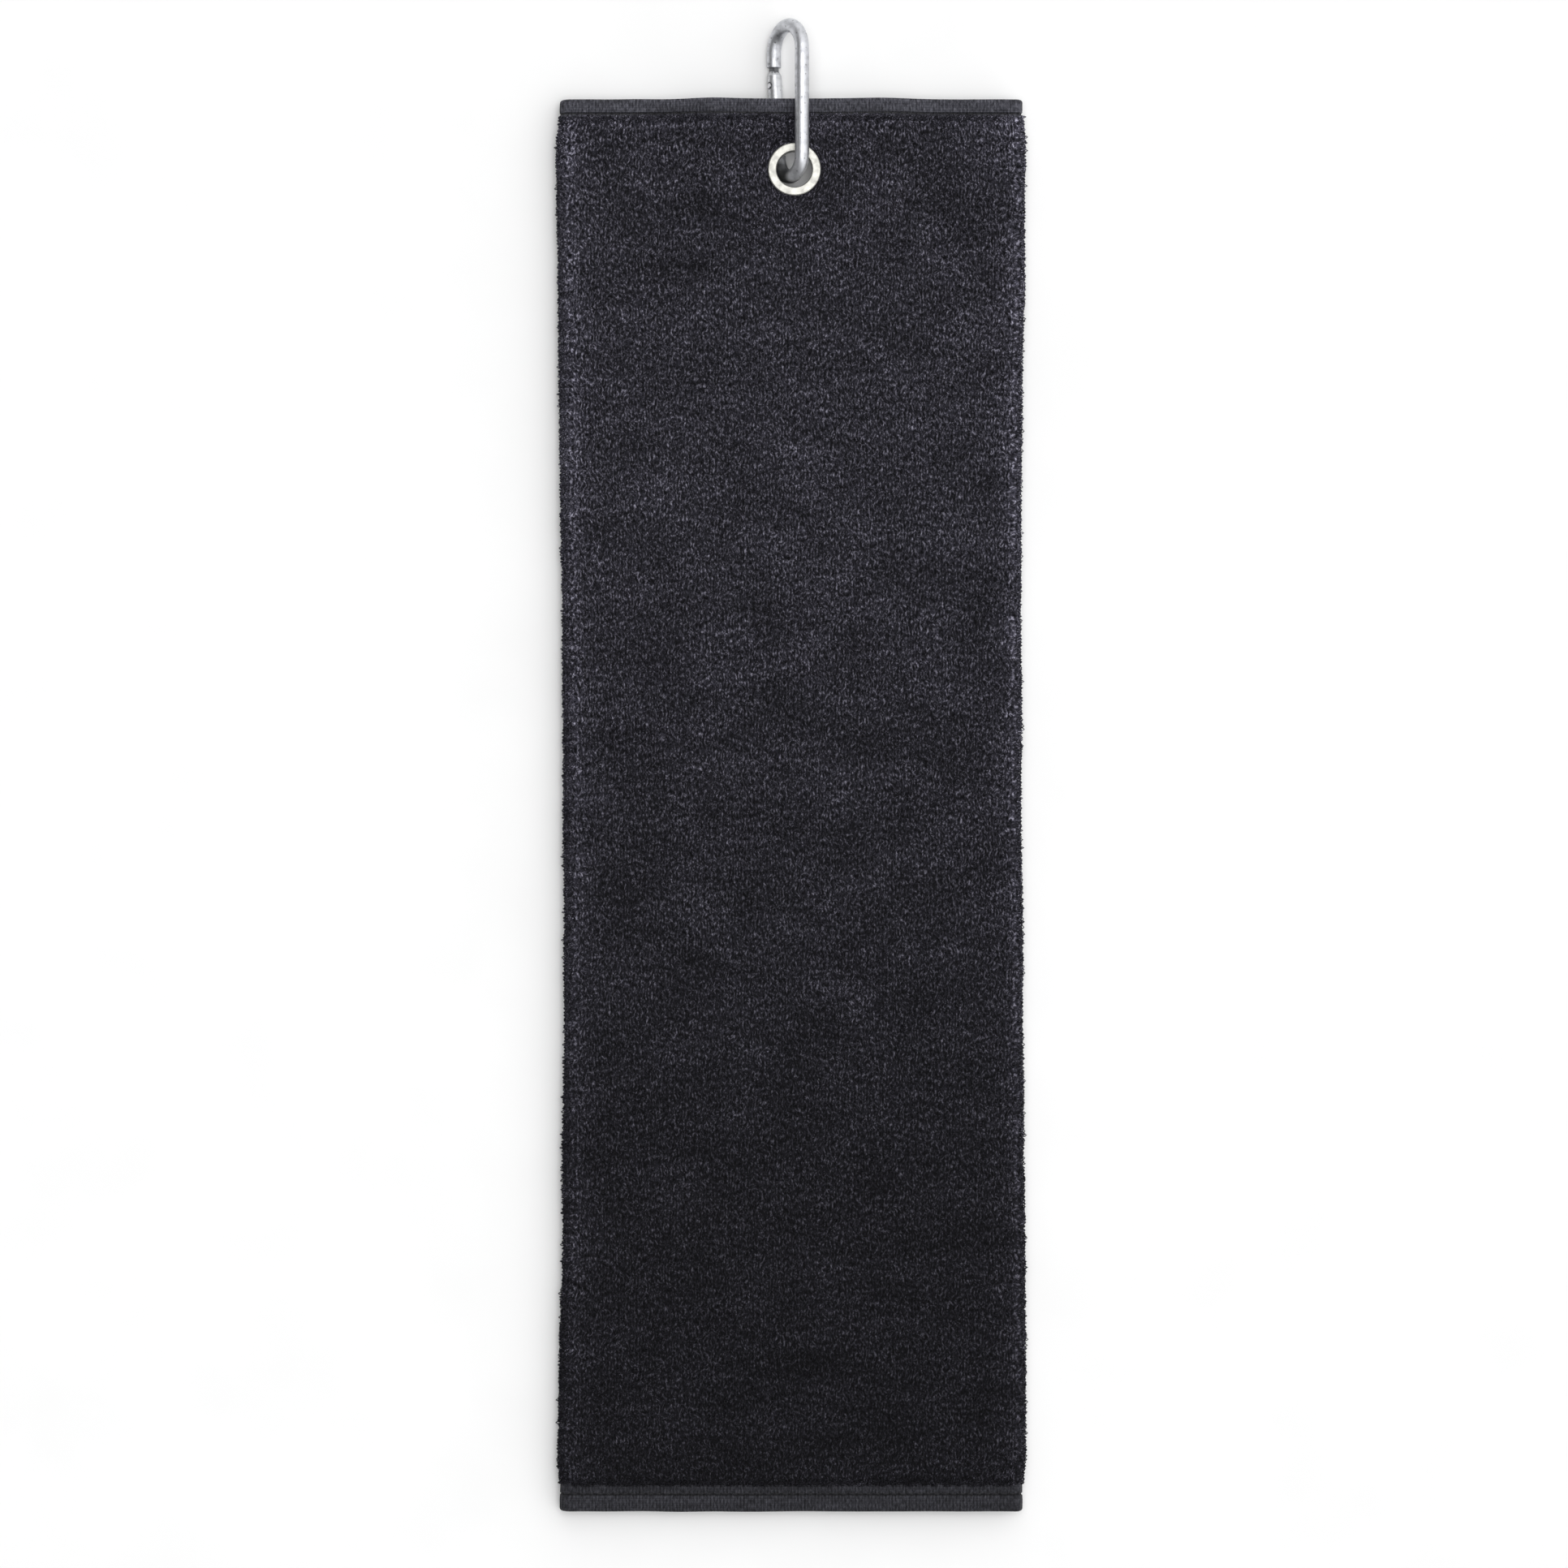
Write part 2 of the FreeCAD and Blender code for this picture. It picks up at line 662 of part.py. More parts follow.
headed_pin("gate_rivet", "rivet_diameter", None)
headed_pin("latch_pin", "latch_diameter", "latch_out", size("gate_lean"))

plunger = revolved(
    "spring_plunger",
    "XY_Plane",
    [
        ("0", "plunger_foot - spring_outside / 2"),
        ("spring_outside / 2", "plunger_foot", "0", "plunger_foot", 1),
        ("spring_outside / 2", "gate_slot_depth + plunger_length"),
        ("0", "gate_slot_depth + plunger_length"),
    ],
    "V_Axis",
)
plunger.Placement = clip_placement(size("gate_lean"))
sub_part(plunger, "spring_plunger")


def coil_spring(name):
    """The gate's return spring: a wire swept along a helix, standing on the plunger."""
    wire_radius = size("spring_wire") / 2
    coil_radius = size("spring_outside") / 2 - wire_radius
    height = size("spring_length") - size("spring_wire") - size("spring_end_room")
    path = Part.makeHelix(size("spring_pitch"), height, coil_radius)
    section = Part.Wire(Part.makeCircle(wire_radius, Vector(coil_radius, 0, 0), Y_AXIS))
    coil = Part.Wire(path.Edges).makePipeShell([section], True, True)
    foot = size("gate_slot_depth") + size("plunger_length") + wire_radius + size("pin_clearance")
    thing = document.addObject("Part::Feature", name + "_coil")
    thing.Shape = coil
    standing = FreeCAD.Placement(Vector(0, foot, 0), FreeCAD.Rotation(*ALONG_Y))
    thing.Placement = clip_placement(size("gate_lean")).multiply(standing)
    return sub_part(thing, name)


coil_spring("gate_spring")

# ---------------------------------------------------------------- checks and files

document.recompute()
for thing in document.Objects:
    if {"Invalid", "Error"} & set(thing.State):
        raise RuntimeError(f"{thing.Name} failed: {thing.State}")
for thing in SUB_PARTS:
    if thing.Shape.isNull() or not thing.Shape.isValid() or not thing.Shape.Solids:
        raise RuntimeError(f"{thing.Label} has no valid solid")
    if not thing.Label.endswith("thread") and len(thing.Shape.Solids) != 1:
        raise RuntimeError(f"{thing.Label} is {len(thing.Shape.Solids)} solids")

os.makedirs("parts", exist_ok=True)
for thing in SUB_PARTS:
    thing.Shape.exportStep(f"parts/{thing.Label}.step")
box = FreeCAD.BoundBox()
for thing in SUB_PARTS:
    box.add(thing.Shape.BoundBox)
print(len(SUB_PARTS), "sub-parts,", box)
print("rivet at", clip_placement().Base)
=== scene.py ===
"""Looks of the golf towel: dark terry folded in three, stitched woven hems, a nickel eyelet and a snap clip.

The towel lies flat on its two flaps, in metres: +Y runs up it to the clip and +Z points away from the floor.
"""

import math
import random

import bpy
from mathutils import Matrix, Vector, noise


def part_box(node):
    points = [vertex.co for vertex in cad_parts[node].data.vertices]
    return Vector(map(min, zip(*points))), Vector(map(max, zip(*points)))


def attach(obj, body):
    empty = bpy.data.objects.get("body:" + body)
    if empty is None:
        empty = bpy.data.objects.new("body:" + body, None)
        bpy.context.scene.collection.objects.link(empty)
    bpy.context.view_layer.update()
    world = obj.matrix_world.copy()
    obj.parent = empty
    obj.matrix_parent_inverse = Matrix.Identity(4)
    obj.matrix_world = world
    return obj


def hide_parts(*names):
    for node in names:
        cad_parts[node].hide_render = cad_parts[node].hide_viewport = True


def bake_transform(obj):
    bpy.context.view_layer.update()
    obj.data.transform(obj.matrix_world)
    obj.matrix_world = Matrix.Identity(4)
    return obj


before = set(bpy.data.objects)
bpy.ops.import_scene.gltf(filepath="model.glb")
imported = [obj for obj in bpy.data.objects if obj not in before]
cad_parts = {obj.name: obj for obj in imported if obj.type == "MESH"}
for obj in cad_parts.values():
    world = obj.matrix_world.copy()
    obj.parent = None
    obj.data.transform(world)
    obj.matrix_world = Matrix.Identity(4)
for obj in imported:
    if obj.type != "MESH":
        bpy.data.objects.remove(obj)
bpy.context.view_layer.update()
random.seed(7)

MM = 0.001

# ---------------------------------------------------------------- places read from the frame

middle_low, middle_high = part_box("middle_panel_lower")
left_end = middle_low.x
right_end = middle_high.x
stack_height = middle_high.z
layer_pitch = middle_low.z / 2
cloth_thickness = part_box("outer_panel_lower")[1].z
half_cloth = cloth_thickness / 2
inner_hem_low, inner_hem_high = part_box("inner_side_hem_lower")
outer_hem_low, outer_hem_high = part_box("outer_side_hem_lower")
bottom_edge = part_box("middle_bottom_hem")[0].y
top_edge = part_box("middle_top_hem")[1].y
side_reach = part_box("right_fold_lower")[1].x
outer_radius = stack_height / 2
inner_radius = (stack_height - layer_pitch) / 2

RIM_RISE = 0.9 * MM  # the eyelet's rim stands this far out of the pile
EDGE_PINCH = 3.2 * MM  # the three layers' thickness at the top edge, where the clip's rod squeezes them
eyelet_low, eyelet_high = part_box("eyelet")
eyelet = (eyelet_low + eyelet_high) / 2
eyelet_rim = (eyelet_high.x - eyelet_low.x) / 2
eyelet_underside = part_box("eyelet_washer")[1].z
eyelet_topside = eyelet_high.z - RIM_RISE
edge_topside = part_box("middle_top_hem")[1].z
edge_underside = edge_topside - EDGE_PINCH
clip_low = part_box("clip_frame")[0]
gate_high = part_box("gate")[1]

# The flat bands at the towel's two ends, and the pile between them.
TOP_BAND = 5.7 * MM
BOTTOM_BAND = 9.3 * MM
pile_foot = bottom_edge + BOTTOM_BAND
pile_top = top_edge - TOP_BAND
pile_length = pile_top - pile_foot


def smooth(share):
    """0 to 1, level at both ends."""
    share = min(max(share, 0), 1)
    return share * share * (3 - 2 * share)


def mixed(a, b, share):
    return a + share * (b - a)


def ripple(x, y, layer):
    """A smooth random value from -1 to 1, changing over about one unit. Each layer has its own pattern."""
    return noise.noise(Vector((x, y, layer)))


# ---------------------------------------------------------------- the arch over the clip's lower leg

RIDGE_HALF_WIDTH = 28 * MM
RIDGE_REACH = 52 * MM
RAMP_LENGTH = 90 * MM
RAMP_OVERRUN = 15 * MM


def lifted(x, y, height):
    """Where a height in the flat stack comes to once the stack is arched over the clip's lower leg."""
    ramp_foot = eyelet.y - RAMP_LENGTH - RAMP_OVERRUN
    ridge = 1 - smooth((abs(x - eyelet.x) - RIDGE_HALF_WIDTH) / (RIDGE_REACH - RIDGE_HALF_WIDTH))
    rise = ridge * smooth((y - ramp_foot) / RAMP_LENGTH)
    beyond = smooth((y - eyelet.y) / (top_edge - eyelet.y))
    under = mixed(eyelet_underside, edge_underside, beyond)
    over = mixed(eyelet_topside, edge_topside, beyond)
    return mixed(height, mixed(under, over, height / stack_height), rise)


# ---------------------------------------------------------------- the towel's sides

# How far each side draws in, and at what share of the towel's length it draws in the most.
LEFT_WAIST = 2.7 * MM
LEFT_WAIST_AT = 0.4
RIGHT_WAIST = 1.8 * MM
RIGHT_WAIST_AT = 0.6
WAIST_ROUNDNESS = 1.3
SIDE_WANDER = 0.6 * MM
SIDE_WANDER_RUN = 38 * MM
SIDE_BUMPS = 0.25 * MM
SIDE_BUMPS_RUN = 6 * MM
WANDER_FADES = 6  # the power of the distance out, so that only the sides wander


def hump(share, peak):
    """0 at both ends and 1 at the peak."""
    share = min(max(share, 0), 1)
    return math.sin(math.pi * share ** (math.log(0.5) / math.log(peak))) ** WAIST_ROUNDNESS


def waist(x, y):
    """The towel is a little narrower along its middle than at its ends, and its sides wander."""
    share = (y - bottom_edge) / (top_edge - bottom_edge)
    if x < eyelet.x:
        inset = LEFT_WAIST * hump(share, LEFT_WAIST_AT)
    else:
        inset = RIGHT_WAIST * hump(share, RIGHT_WAIST_AT)
    out = (x - eyelet.x) / side_reach
    wander = SIDE_WANDER * ripple(y / SIDE_WANDER_RUN, math.copysign(5, x), 0)
    bumps = SIDE_BUMPS * ripple(y / SIDE_BUMPS_RUN, math.copysign(9, x), 0)
    return x - out * inset + abs(out) ** WANDER_FADES * (wander + bumps)


# ---------------------------------------------------------------- the C fold's line

OUTER_HEM_WIDTH = outer_hem_high.x - outer_hem_low.x
INNER_HEM_WIDTH = inner_hem_high.x - inner_hem_low.x
OUTER_RUN = outer_hem_low.x - left_end
LEFT_TURN = math.pi * (outer_radius - half_cloth)
MIDDLE_RUN = right_end - left_end
RIGHT_TURN = math.pi * (inner_radius - half_cloth)
INNER_RUN = right_end - inner_hem_high.x
RUNS = OUTER_RUN, LEFT_TURN, MIDDLE_RUN, RIGHT_TURN, INNER_RUN


def c_fold(along):
    """The cloth's middle line at a distance along it, from the outer panel's side hem round to the inner
    panel's: (x, z, normal x, normal z), the normal pointing to the towel's outer face."""
    if along < OUTER_RUN:
        return outer_hem_low.x - along, half_cloth, 0, -1
    along -= OUTER_RUN
    if along < LEFT_TURN:
        return around(left_end, outer_radius, outer_radius - half_cloth, -1, along / LEFT_TURN)
    along -= LEFT_TURN
    if along < MIDDLE_RUN:
        return left_end + along, stack_height - half_cloth, 0, 1
    along -= MIDDLE_RUN
    if along < RIGHT_TURN:
        return around(right_end, layer_pitch + inner_radius, inner_radius - half_cloth, 1, along / RIGHT_TURN)
    along -= RIGHT_TURN
    return right_end - along, layer_pitch + half_cloth, 0, -1


def around(centre_x, centre_z, radius, side, share):
    """A half turn, clockwise: on the left from the bottom up, on the right from the top down."""
    angle = side * math.pi / 2 - math.pi * share
    normal_x, normal_z = math.cos(angle), math.sin(angle)
    return centre_x + radius * normal_x, centre_z + radius * normal_z, normal_x, normal_z


def stations(spacings, runs):
    """Distances along the cloth: each run divided evenly, about its own spacing apart."""
    places = [0.0]
    for run, spacing in zip(runs, spacings):
        count = max(1, round(run / spacing))
        start = places[-1]
        places += [start + run * n / count for n in range(1, count + 1)]
    return places


# ---------------------------------------------------------------- a point of the cloth

RIM_OVER_CLOTH = 2.1 * MM  # the eyelet's rim covers this much of the cloth round its barrel
HOLE = eyelet_rim - RIM_OVER_CLOTH
HOLE_REACH = 16 * MM  # the weave is pushed aside out to here
HOLE_START = 2.2 * MM  # the cut in the weave before it was pushed aside
HOLE_MARGIN = 1.5 * MM


def pierced(x, y):
    """Pushes the cloth outwards from the middle of the eyelet, which opens the hole for its barrel."""
    dx, dy = x - eyelet.x, y - eyelet.y
    away = math.hypot(dx, dy)
    if away >= HOLE_REACH or away < 1e-9:
        return x, y
    pushed = math.sqrt(HOLE**2 + away**2 * (1 - HOLE**2 / HOLE_REACH**2))
    return eyelet.x + dx * pushed / away, eyelet.y + dy * pushed / away


def in_hole(along_a, along_b, y_a, y_b):
    """True for a piece of cloth that the eyelet's hole takes out."""
    dx = (c_fold(along_a)[0] + c_fold(along_b)[0]) / 2 - eyelet.x
    dy = (y_a + y_b) / 2 - eyelet.y
    reach = math.hypot(along_b - along_a, y_b - y_a) / 2
    return math.hypot(dx, dy) < max(HOLE_START, reach + HOLE_MARGIN)


def cloth_point(along, y, offset, relief=0.0, inset=0.0):
    """A point of the cloth: at a distance along the C fold and up the towel, offset from the middle line to
    the towel's outer face and lifted with the stack, then standing out by the relief."""
    x, z, normal_x, normal_z = c_fold(along)
    x += normal_x * offset
    z += normal_z * offset
    if normal_z < 0:
        relief = min(relief, max(z, 0) / -normal_z)
    x -= inset * (x - eyelet.x) / side_reach
    x, y_place = pierced(x, y)
    height = lifted(x, y_place, z)
    return Vector((waist(x, y_place) + normal_x * relief, y_place, height + normal_z * relief))


# ---------------------------------------------------------------- meshes


def mesh_object(name, points, faces, material, places=None):
    """A smooth mesh. Its points can carry their place on the cloth, which the weave's pattern follows."""
    mesh = bpy.data.meshes.new(name)
    mesh.from_pydata(points, [], faces)
    mesh.validate()
    mesh.polygons.foreach_set("use_smooth", [True] * len(mesh.polygons))
    if places:
        attribute = mesh.attributes.new("cloth_place", "FLOAT_VECTOR", "POINT")
        attribute.data.foreach_set("vector", [value for place in places for value in place])
    mesh.materials.append(material)
    made = bpy.data.objects.new(name, mesh)
    bpy.context.scene.collection.objects.link(made)
    return made


def swept_faces(copies, ring, start=0):
    """Faces of a bar made of copies of a closed outline, which has `ring` points, with both ends closed."""
    faces = []
    for copy in range(copies - 1):
        for k in range(ring):
            a = start + copy * ring + k
            b = start + copy * ring + (k + 1) % ring
            faces.append((a, b, b + ring, a + ring))
    faces.append(tuple(reversed(range(start, start + ring))))
    faces.append(tuple(range(start + (copies - 1) * ring, start + copies * ring)))
    return faces


def tube(points, faces, places, line, radius, sides, along):
    """Adds a closed tube round a short line of points."""
    start = len(points)
    for index, point in enumerate(line):
        before = line[max(index - 1, 0)]
        after = line[min(index + 1, len(line) - 1)]
        forward = (after - before).normalized()
        across = forward.cross(Vector((0, 0, 1)) if abs(forward.z) < 0.9 else Vector((1, 0, 0))).normalized()
        up = across.cross(forward)
        for side in range(sides):
            angle = math.tau * side / sides
            points.append(point + (across * math.cos(angle) + up * math.sin(angle)) * radius)
            places.append((along + (point - line[0]).length, radius * angle, 0))
    faces += swept_faces(len(line), sides, start)


# ---------------------------------------------------------------- building materials


def new_material(name):
    material = bpy.data.materials.new(name)
    material.use_nodes = True
    tree = material.node_tree
    shader = next(n for n in tree.nodes if n.type == "BSDF_PRINCIPLED")
    return material, tree, shader


def add(tree, kind, **settings):
    """A node with its properties and its inputs set. i0, i1 and i2 stand for its first three inputs, whatever
    they are called, and an input given as a socket is linked."""
    made = tree.nodes.new(kind)
    for name, value in settings.items():
        if hasattr(made, name):
            setattr(made, name, value)
            continue
        socket = made.inputs[int(name[1:])] if name[0] == "i" and name[1:].isdigit() else made.inputs[name]
        if isinstance(value, bpy.types.NodeSocket):
            tree.links.new(value, socket)
        else:
            socket.default_value = value
    return made


def scaled(tree, vector, across, up, turn=0.0, shift=0.0):
    """The vector measured in units of `across` and `up`, turned by an angle in degrees."""
    rotated = add(tree, "ShaderNodeMapping", Vector=vector, Rotation=(0, 0, math.radians(turn)))
    return add(
        tree, "ShaderNodeMapping", Vector=rotated.outputs[0],
        Scale=(1 / across, 1 / up, 1), Location=(shift, shift, shift),
    ).outputs[0]


def speckle(tree, vector, detail=2.0, roughness=0.5, distortion=0.0):
    """Cloudy noise, in patches about one unit wide."""
    made = add(tree, "ShaderNodeTexNoise", Vector=vector, Scale=1.0, Detail=detail,
               Roughness=roughness, Distortion=distortion)
    return made.outputs["Fac"]


def waves(tree, vector, distortion, direction="X", detail_scale=1.0):
    """Parallel waves, about one to a unit."""
    made = add(tree, "ShaderNodeTexWave", Vector=vector, Scale=2 / math.tau, bands_direction=direction,
               Distortion=distortion)
    made.inputs["Detail Scale"].default_value = detail_scale
    return made.outputs["Fac"]


def ramp(tree, factor, *stops):
    """A colour ramp through (place, grey or colour) stops."""
    made = add(tree, "ShaderNodeValToRGB", Fac=factor)
    elements = made.color_ramp.elements
    while len(elements) < len(stops):
        elements.new(0.5)
    for element, (place, colour) in zip(elements, stops):
        element.position = place
        element.color = (*colour, 1) if hasattr(colour, "__len__") else (colour, colour, colour, 1)
    return made.outputs["Color"]


def maths(tree, operation, first, second=0.0):
    return add(tree, "ShaderNodeMath", operation=operation, i0=first, i1=second).outputs[0]


def summed(tree, *parts):
    """The sum of patterns, each given with its weight."""
    total = None
    for pattern, weight in parts:
        part = maths(tree, "MULTIPLY", pattern, weight)
        total = part if total is None else maths(tree, "ADD", total, part)
    return total


def within(tree, value, low, high, edge):
    """1 where the value lies between two limits, falling to 0 over `edge` on either side."""
    rising = maths(tree, "DIVIDE", maths(tree, "SUBTRACT", value, low - edge), edge)
    falling = maths(tree, "DIVIDE", maths(tree, "SUBTRACT", high + edge, value), edge)
    return add(tree, "ShaderNodeClamp", Value=maths(tree, "MINIMUM", rising, falling)).outputs[0]


def blended(tree, kind, factor, first, second):
    """Two colours mixed. A Mix node keeps its colours in its inputs 6 and 7 and gives the mix as output 2."""
    made = tree.nodes.new("ShaderNodeMix")
    made.data_type = "RGBA"
    made.blend_type = kind
    for socket, value in ((made.inputs[0], factor), (made.inputs[6], first), (made.inputs[7], second)):
        if isinstance(value, bpy.types.NodeSocket):
            tree.links.new(value, socket)
        else:
            socket.default_value = (*value, 1) if hasattr(value, "__len__") else value
    return made.outputs[2]


def shaded(tree, colour, shade):
    """The colour times a shade: 1 leaves it as it is."""
    return blended(tree, "MULTIPLY", 1.0, colour, shade)


def bump(tree, shader, height, distance, strength=1.0):
    made = add(tree, "ShaderNodeBump", Height=height, Distance=distance, Strength=strength)
    tree.links.new(made.outputs[0], shader.inputs["Normal"])


def cloth_place(tree):
    """(distance along the C fold, distance up the towel, distance from a hem's stitches)."""
    return add(tree, "ShaderNodeAttribute", attribute_name="cloth_place").outputs["Vector"]


def up_the_towel(tree, place):
    """0 at the bottom edge and 1 at the top edge."""
    y = add(tree, "ShaderNodeSeparateXYZ", Vector=place).outputs["Y"]
    made = add(tree, "ShaderNodeMapRange", Value=y)
    made.inputs["From Min"].default_value = bottom_edge
    made.inputs["From Max"].default_value = top_edge
    return made.outputs[0]


def towards_the_folds(tree, place):
    """0 along the middle of the seen panel and 1 where it starts to turn round either fold."""
    along = add(tree, "ShaderNodeSeparateXYZ", Vector=place).outputs["X"]
    middle = OUTER_RUN + LEFT_TURN + MIDDLE_RUN / 2
    away = maths(tree, "ABSOLUTE", maths(tree, "SUBTRACT", along, middle))
    return maths(tree, "DIVIDE", away, MIDDLE_RUN / 2)


# ---------------------------------------------------------------- terry's material

# A pattern's size: (across, up, degrees turned, shift).
LOOPS_LEANING_LEFT = 0.74 * MM, 1.60 * MM, 17
LOOPS_LEANING_RIGHT = 0.70 * MM, 1.35 * MM, -22, 31
TUFTS = 1.5 * MM, 2.1 * MM, -12, 57
UPRIGHT_RIBS = 1.15 * MM, 40 * MM
PATCHES = 24 * MM, 19 * MM, 8
STREAKS = 30 * MM, 7 * MM, 3, 12
LINT = 14 * MM, 19 * MM
DRIFT = 7 * MM, 7 * MM
DRIFT_BY = 2.4 * MM  # how far the rows of loops stray

# Stops of (place, grey or colour). The greys are shades, times the colour.
# The loops' colour: painted shade between the loops, the yarn's own dark colour, and painted highlight where
# they stand out.
TERRY_PAINTED_SHADE = (0.0016, 0.0016, 0.0025)
TERRY_MIDDLE = (0.0200, 0.0192, 0.0258)
TERRY_PAINTED_HIGHLIGHT = (0.150, 0.145, 0.180)
TERRY_LINT = (0.20, 0.20, 0.22)
LOOP_COLOUR_AND_PAINTED_LIGHT = (0.44, TERRY_PAINTED_SHADE), (0.60, TERRY_MIDDLE), (0.76, TERRY_PAINTED_HIGHLIGHT)
GROUND_SHADES = (0.34, 0.5), (0.5, 0.9), (0.66, 1.4)
TUFT_SHADES = (0.34, 0.45), (0.5, 0.98), (0.66, 1.6)
# Darker towards the bottom of the towel, and painted light on the pile just below the top hem, where the
# hem's shade falls.
PILE_DARKENING_AND_PAINTED_LIGHT = (0.0, 0.34), (0.22, 0.46), (0.5, 0.86), (0.75, 1.24), (0.93, 1.10), (0.970, 1.10), (0.984, 1.7)
# Painted sheen: the pile made lighter towards the two folds, where its turned face catches the light.
PAINTED_SHEEN_AT_FOLDS = (0.0, 1.0), (0.86, 1.0), (0.96, 1.3), (1.0, 2.0)
LINT_SPECKS = (0.0, 0.8), (0.012, 0.8), (0.022, 0.0)
LOOP_ROUGHNESS = (0.3, 0.98), (0.8, 0.80)
LOOP_BUMP = 1.3 * MM


def terry_material(name, brightness):
    """Dark terry: short loops leaning both ways, in faint upright ribs, over patchy ground. The colour
    follows the loops' bump: painted highlight where they stand out, painted shade between them.
    """
    material, tree, shader = new_material(name)
    place = cloth_place(tree)
    drift = add(tree, "ShaderNodeTexNoise", Vector=scaled(tree, place, *DRIFT), Scale=1.0, Detail=1.0)
    drifted = add(tree, "ShaderNodeVectorMath", operation="MULTIPLY_ADD", i0=drift.outputs["Color"],
                  i1=(DRIFT_BY, DRIFT_BY, 0), i2=place).outputs[0]
    left = speckle(tree, scaled(tree, drifted, *LOOPS_LEANING_LEFT), detail=2.0, roughness=0.62)
    right = speckle(tree, scaled(tree, drifted, *LOOPS_LEANING_RIGHT), detail=2.0, roughness=0.62)
    loops = maths(tree, "MAXIMUM", left, right)
    ribs = waves(tree, scaled(tree, drifted, *UPRIGHT_RIBS), distortion=1.4)
    grain = summed(tree, (loops, 1.0), (ribs, 0.05))
    patches = speckle(tree, scaled(tree, place, *PATCHES), detail=5.0, roughness=0.66)
    streaks = speckle(tree, scaled(tree, place, *STREAKS), detail=3.0, roughness=0.55, distortion=0.6)
    ground = summed(tree, (patches, 0.65), (streaks, 0.35))
    ground_shades = [(at, brightness * shade) for at, shade in GROUND_SHADES]
    tufts = speckle(tree, scaled(tree, drifted, *TUFTS), detail=1.5)
    # colour follows the bump: painted highlight on the loops, painted shade between them
    colour = ramp(tree, grain, *LOOP_COLOUR_AND_PAINTED_LIGHT)
    colour = shaded(tree, colour, ramp(tree, ground, *ground_shades))
    colour = shaded(tree, colour, ramp(tree, tufts, *TUFT_SHADES))
    # darker towards the bottom, with painted light just below the top hem
    colour = shaded(tree, colour, ramp(tree, up_the_towel(tree, place), *PILE_DARKENING_AND_PAINTED_LIGHT))
    # painted sheen, lighter towards the folds
    colour = shaded(tree, colour, ramp(tree, towards_the_folds(tree, place), *PAINTED_SHEEN_AT_FOLDS))
    lint = add(tree, "ShaderNodeTexVoronoi", Vector=scaled(tree, drifted, *LINT), Scale=1.0)
    specks = ramp(tree, lint.outputs["Distance"], *LINT_SPECKS)
    tree.links.new(blended(tree, "MIX", specks, colour, TERRY_LINT), shader.inputs["Base Color"])
    tree.links.new(ramp(tree, loops, *LOOP_ROUGHNESS), shader.inputs["Roughness"])
    shader.inputs["Specular IOR Level"].default_value = 0.10
    shader.inputs["Sheen Weight"].default_value = 0.05
    shader.inputs["Sheen Roughness"].default_value = 0.6
    shader.inputs["Sheen Tint"].default_value = (0.62, 0.62, 0.72, 1)
    bump(tree, shader, grain, LOOP_BUMP)
    return material


# ---------------------------------------------------------------- the hems' and the thread's materials

STITCH_DENT = 0.55 * MM
STITCH_DENT_WIDTH = 1.1 * MM
WARP = 0.62 * MM, 1.7 * MM
WEFT = 60 * MM, 0.55 * MM
FIBRE = 0.35 * MM, 0.5 * MM
HEM_PATCHES = 16 * MM, 6 * MM
HEM_COLOURS = (0.33, (0.010, 0.010, 0.013)), (0.51, (0.046, 0.046, 0.057)), (0.75, (0.135, 0.135, 0.160))
HEM_DARKER_TOWARDS_BOTTOM = (0.0, 0.43), (1.0, 1.0)
# Painted shadow in the dent along the hem's stitches.
PAINTED_STITCH_SHADOW = (0.0, 0.25), (0.2, 0.4), (0.5, 1.0)
HEM_PATCH_SHADES = (0.3, 0.7), (0.7, 1.25)
HEM_ROUGHNESS = (0.2, 0.95), (0.9, 0.75)
HEM_BUMP = 0.35 * MM
TWIST = 0.34 * MM, 0.34 * MM, 38
THREAD_COLOURS = (0.1, (0.002, 0.002, 0.003)), (0.9, (0.012, 0.012, 0.016))
THREAD_ROUGHNESS = (0.0, 0.8), (1.0, 0.55)
THREAD_BUMP = 0.08 * MM


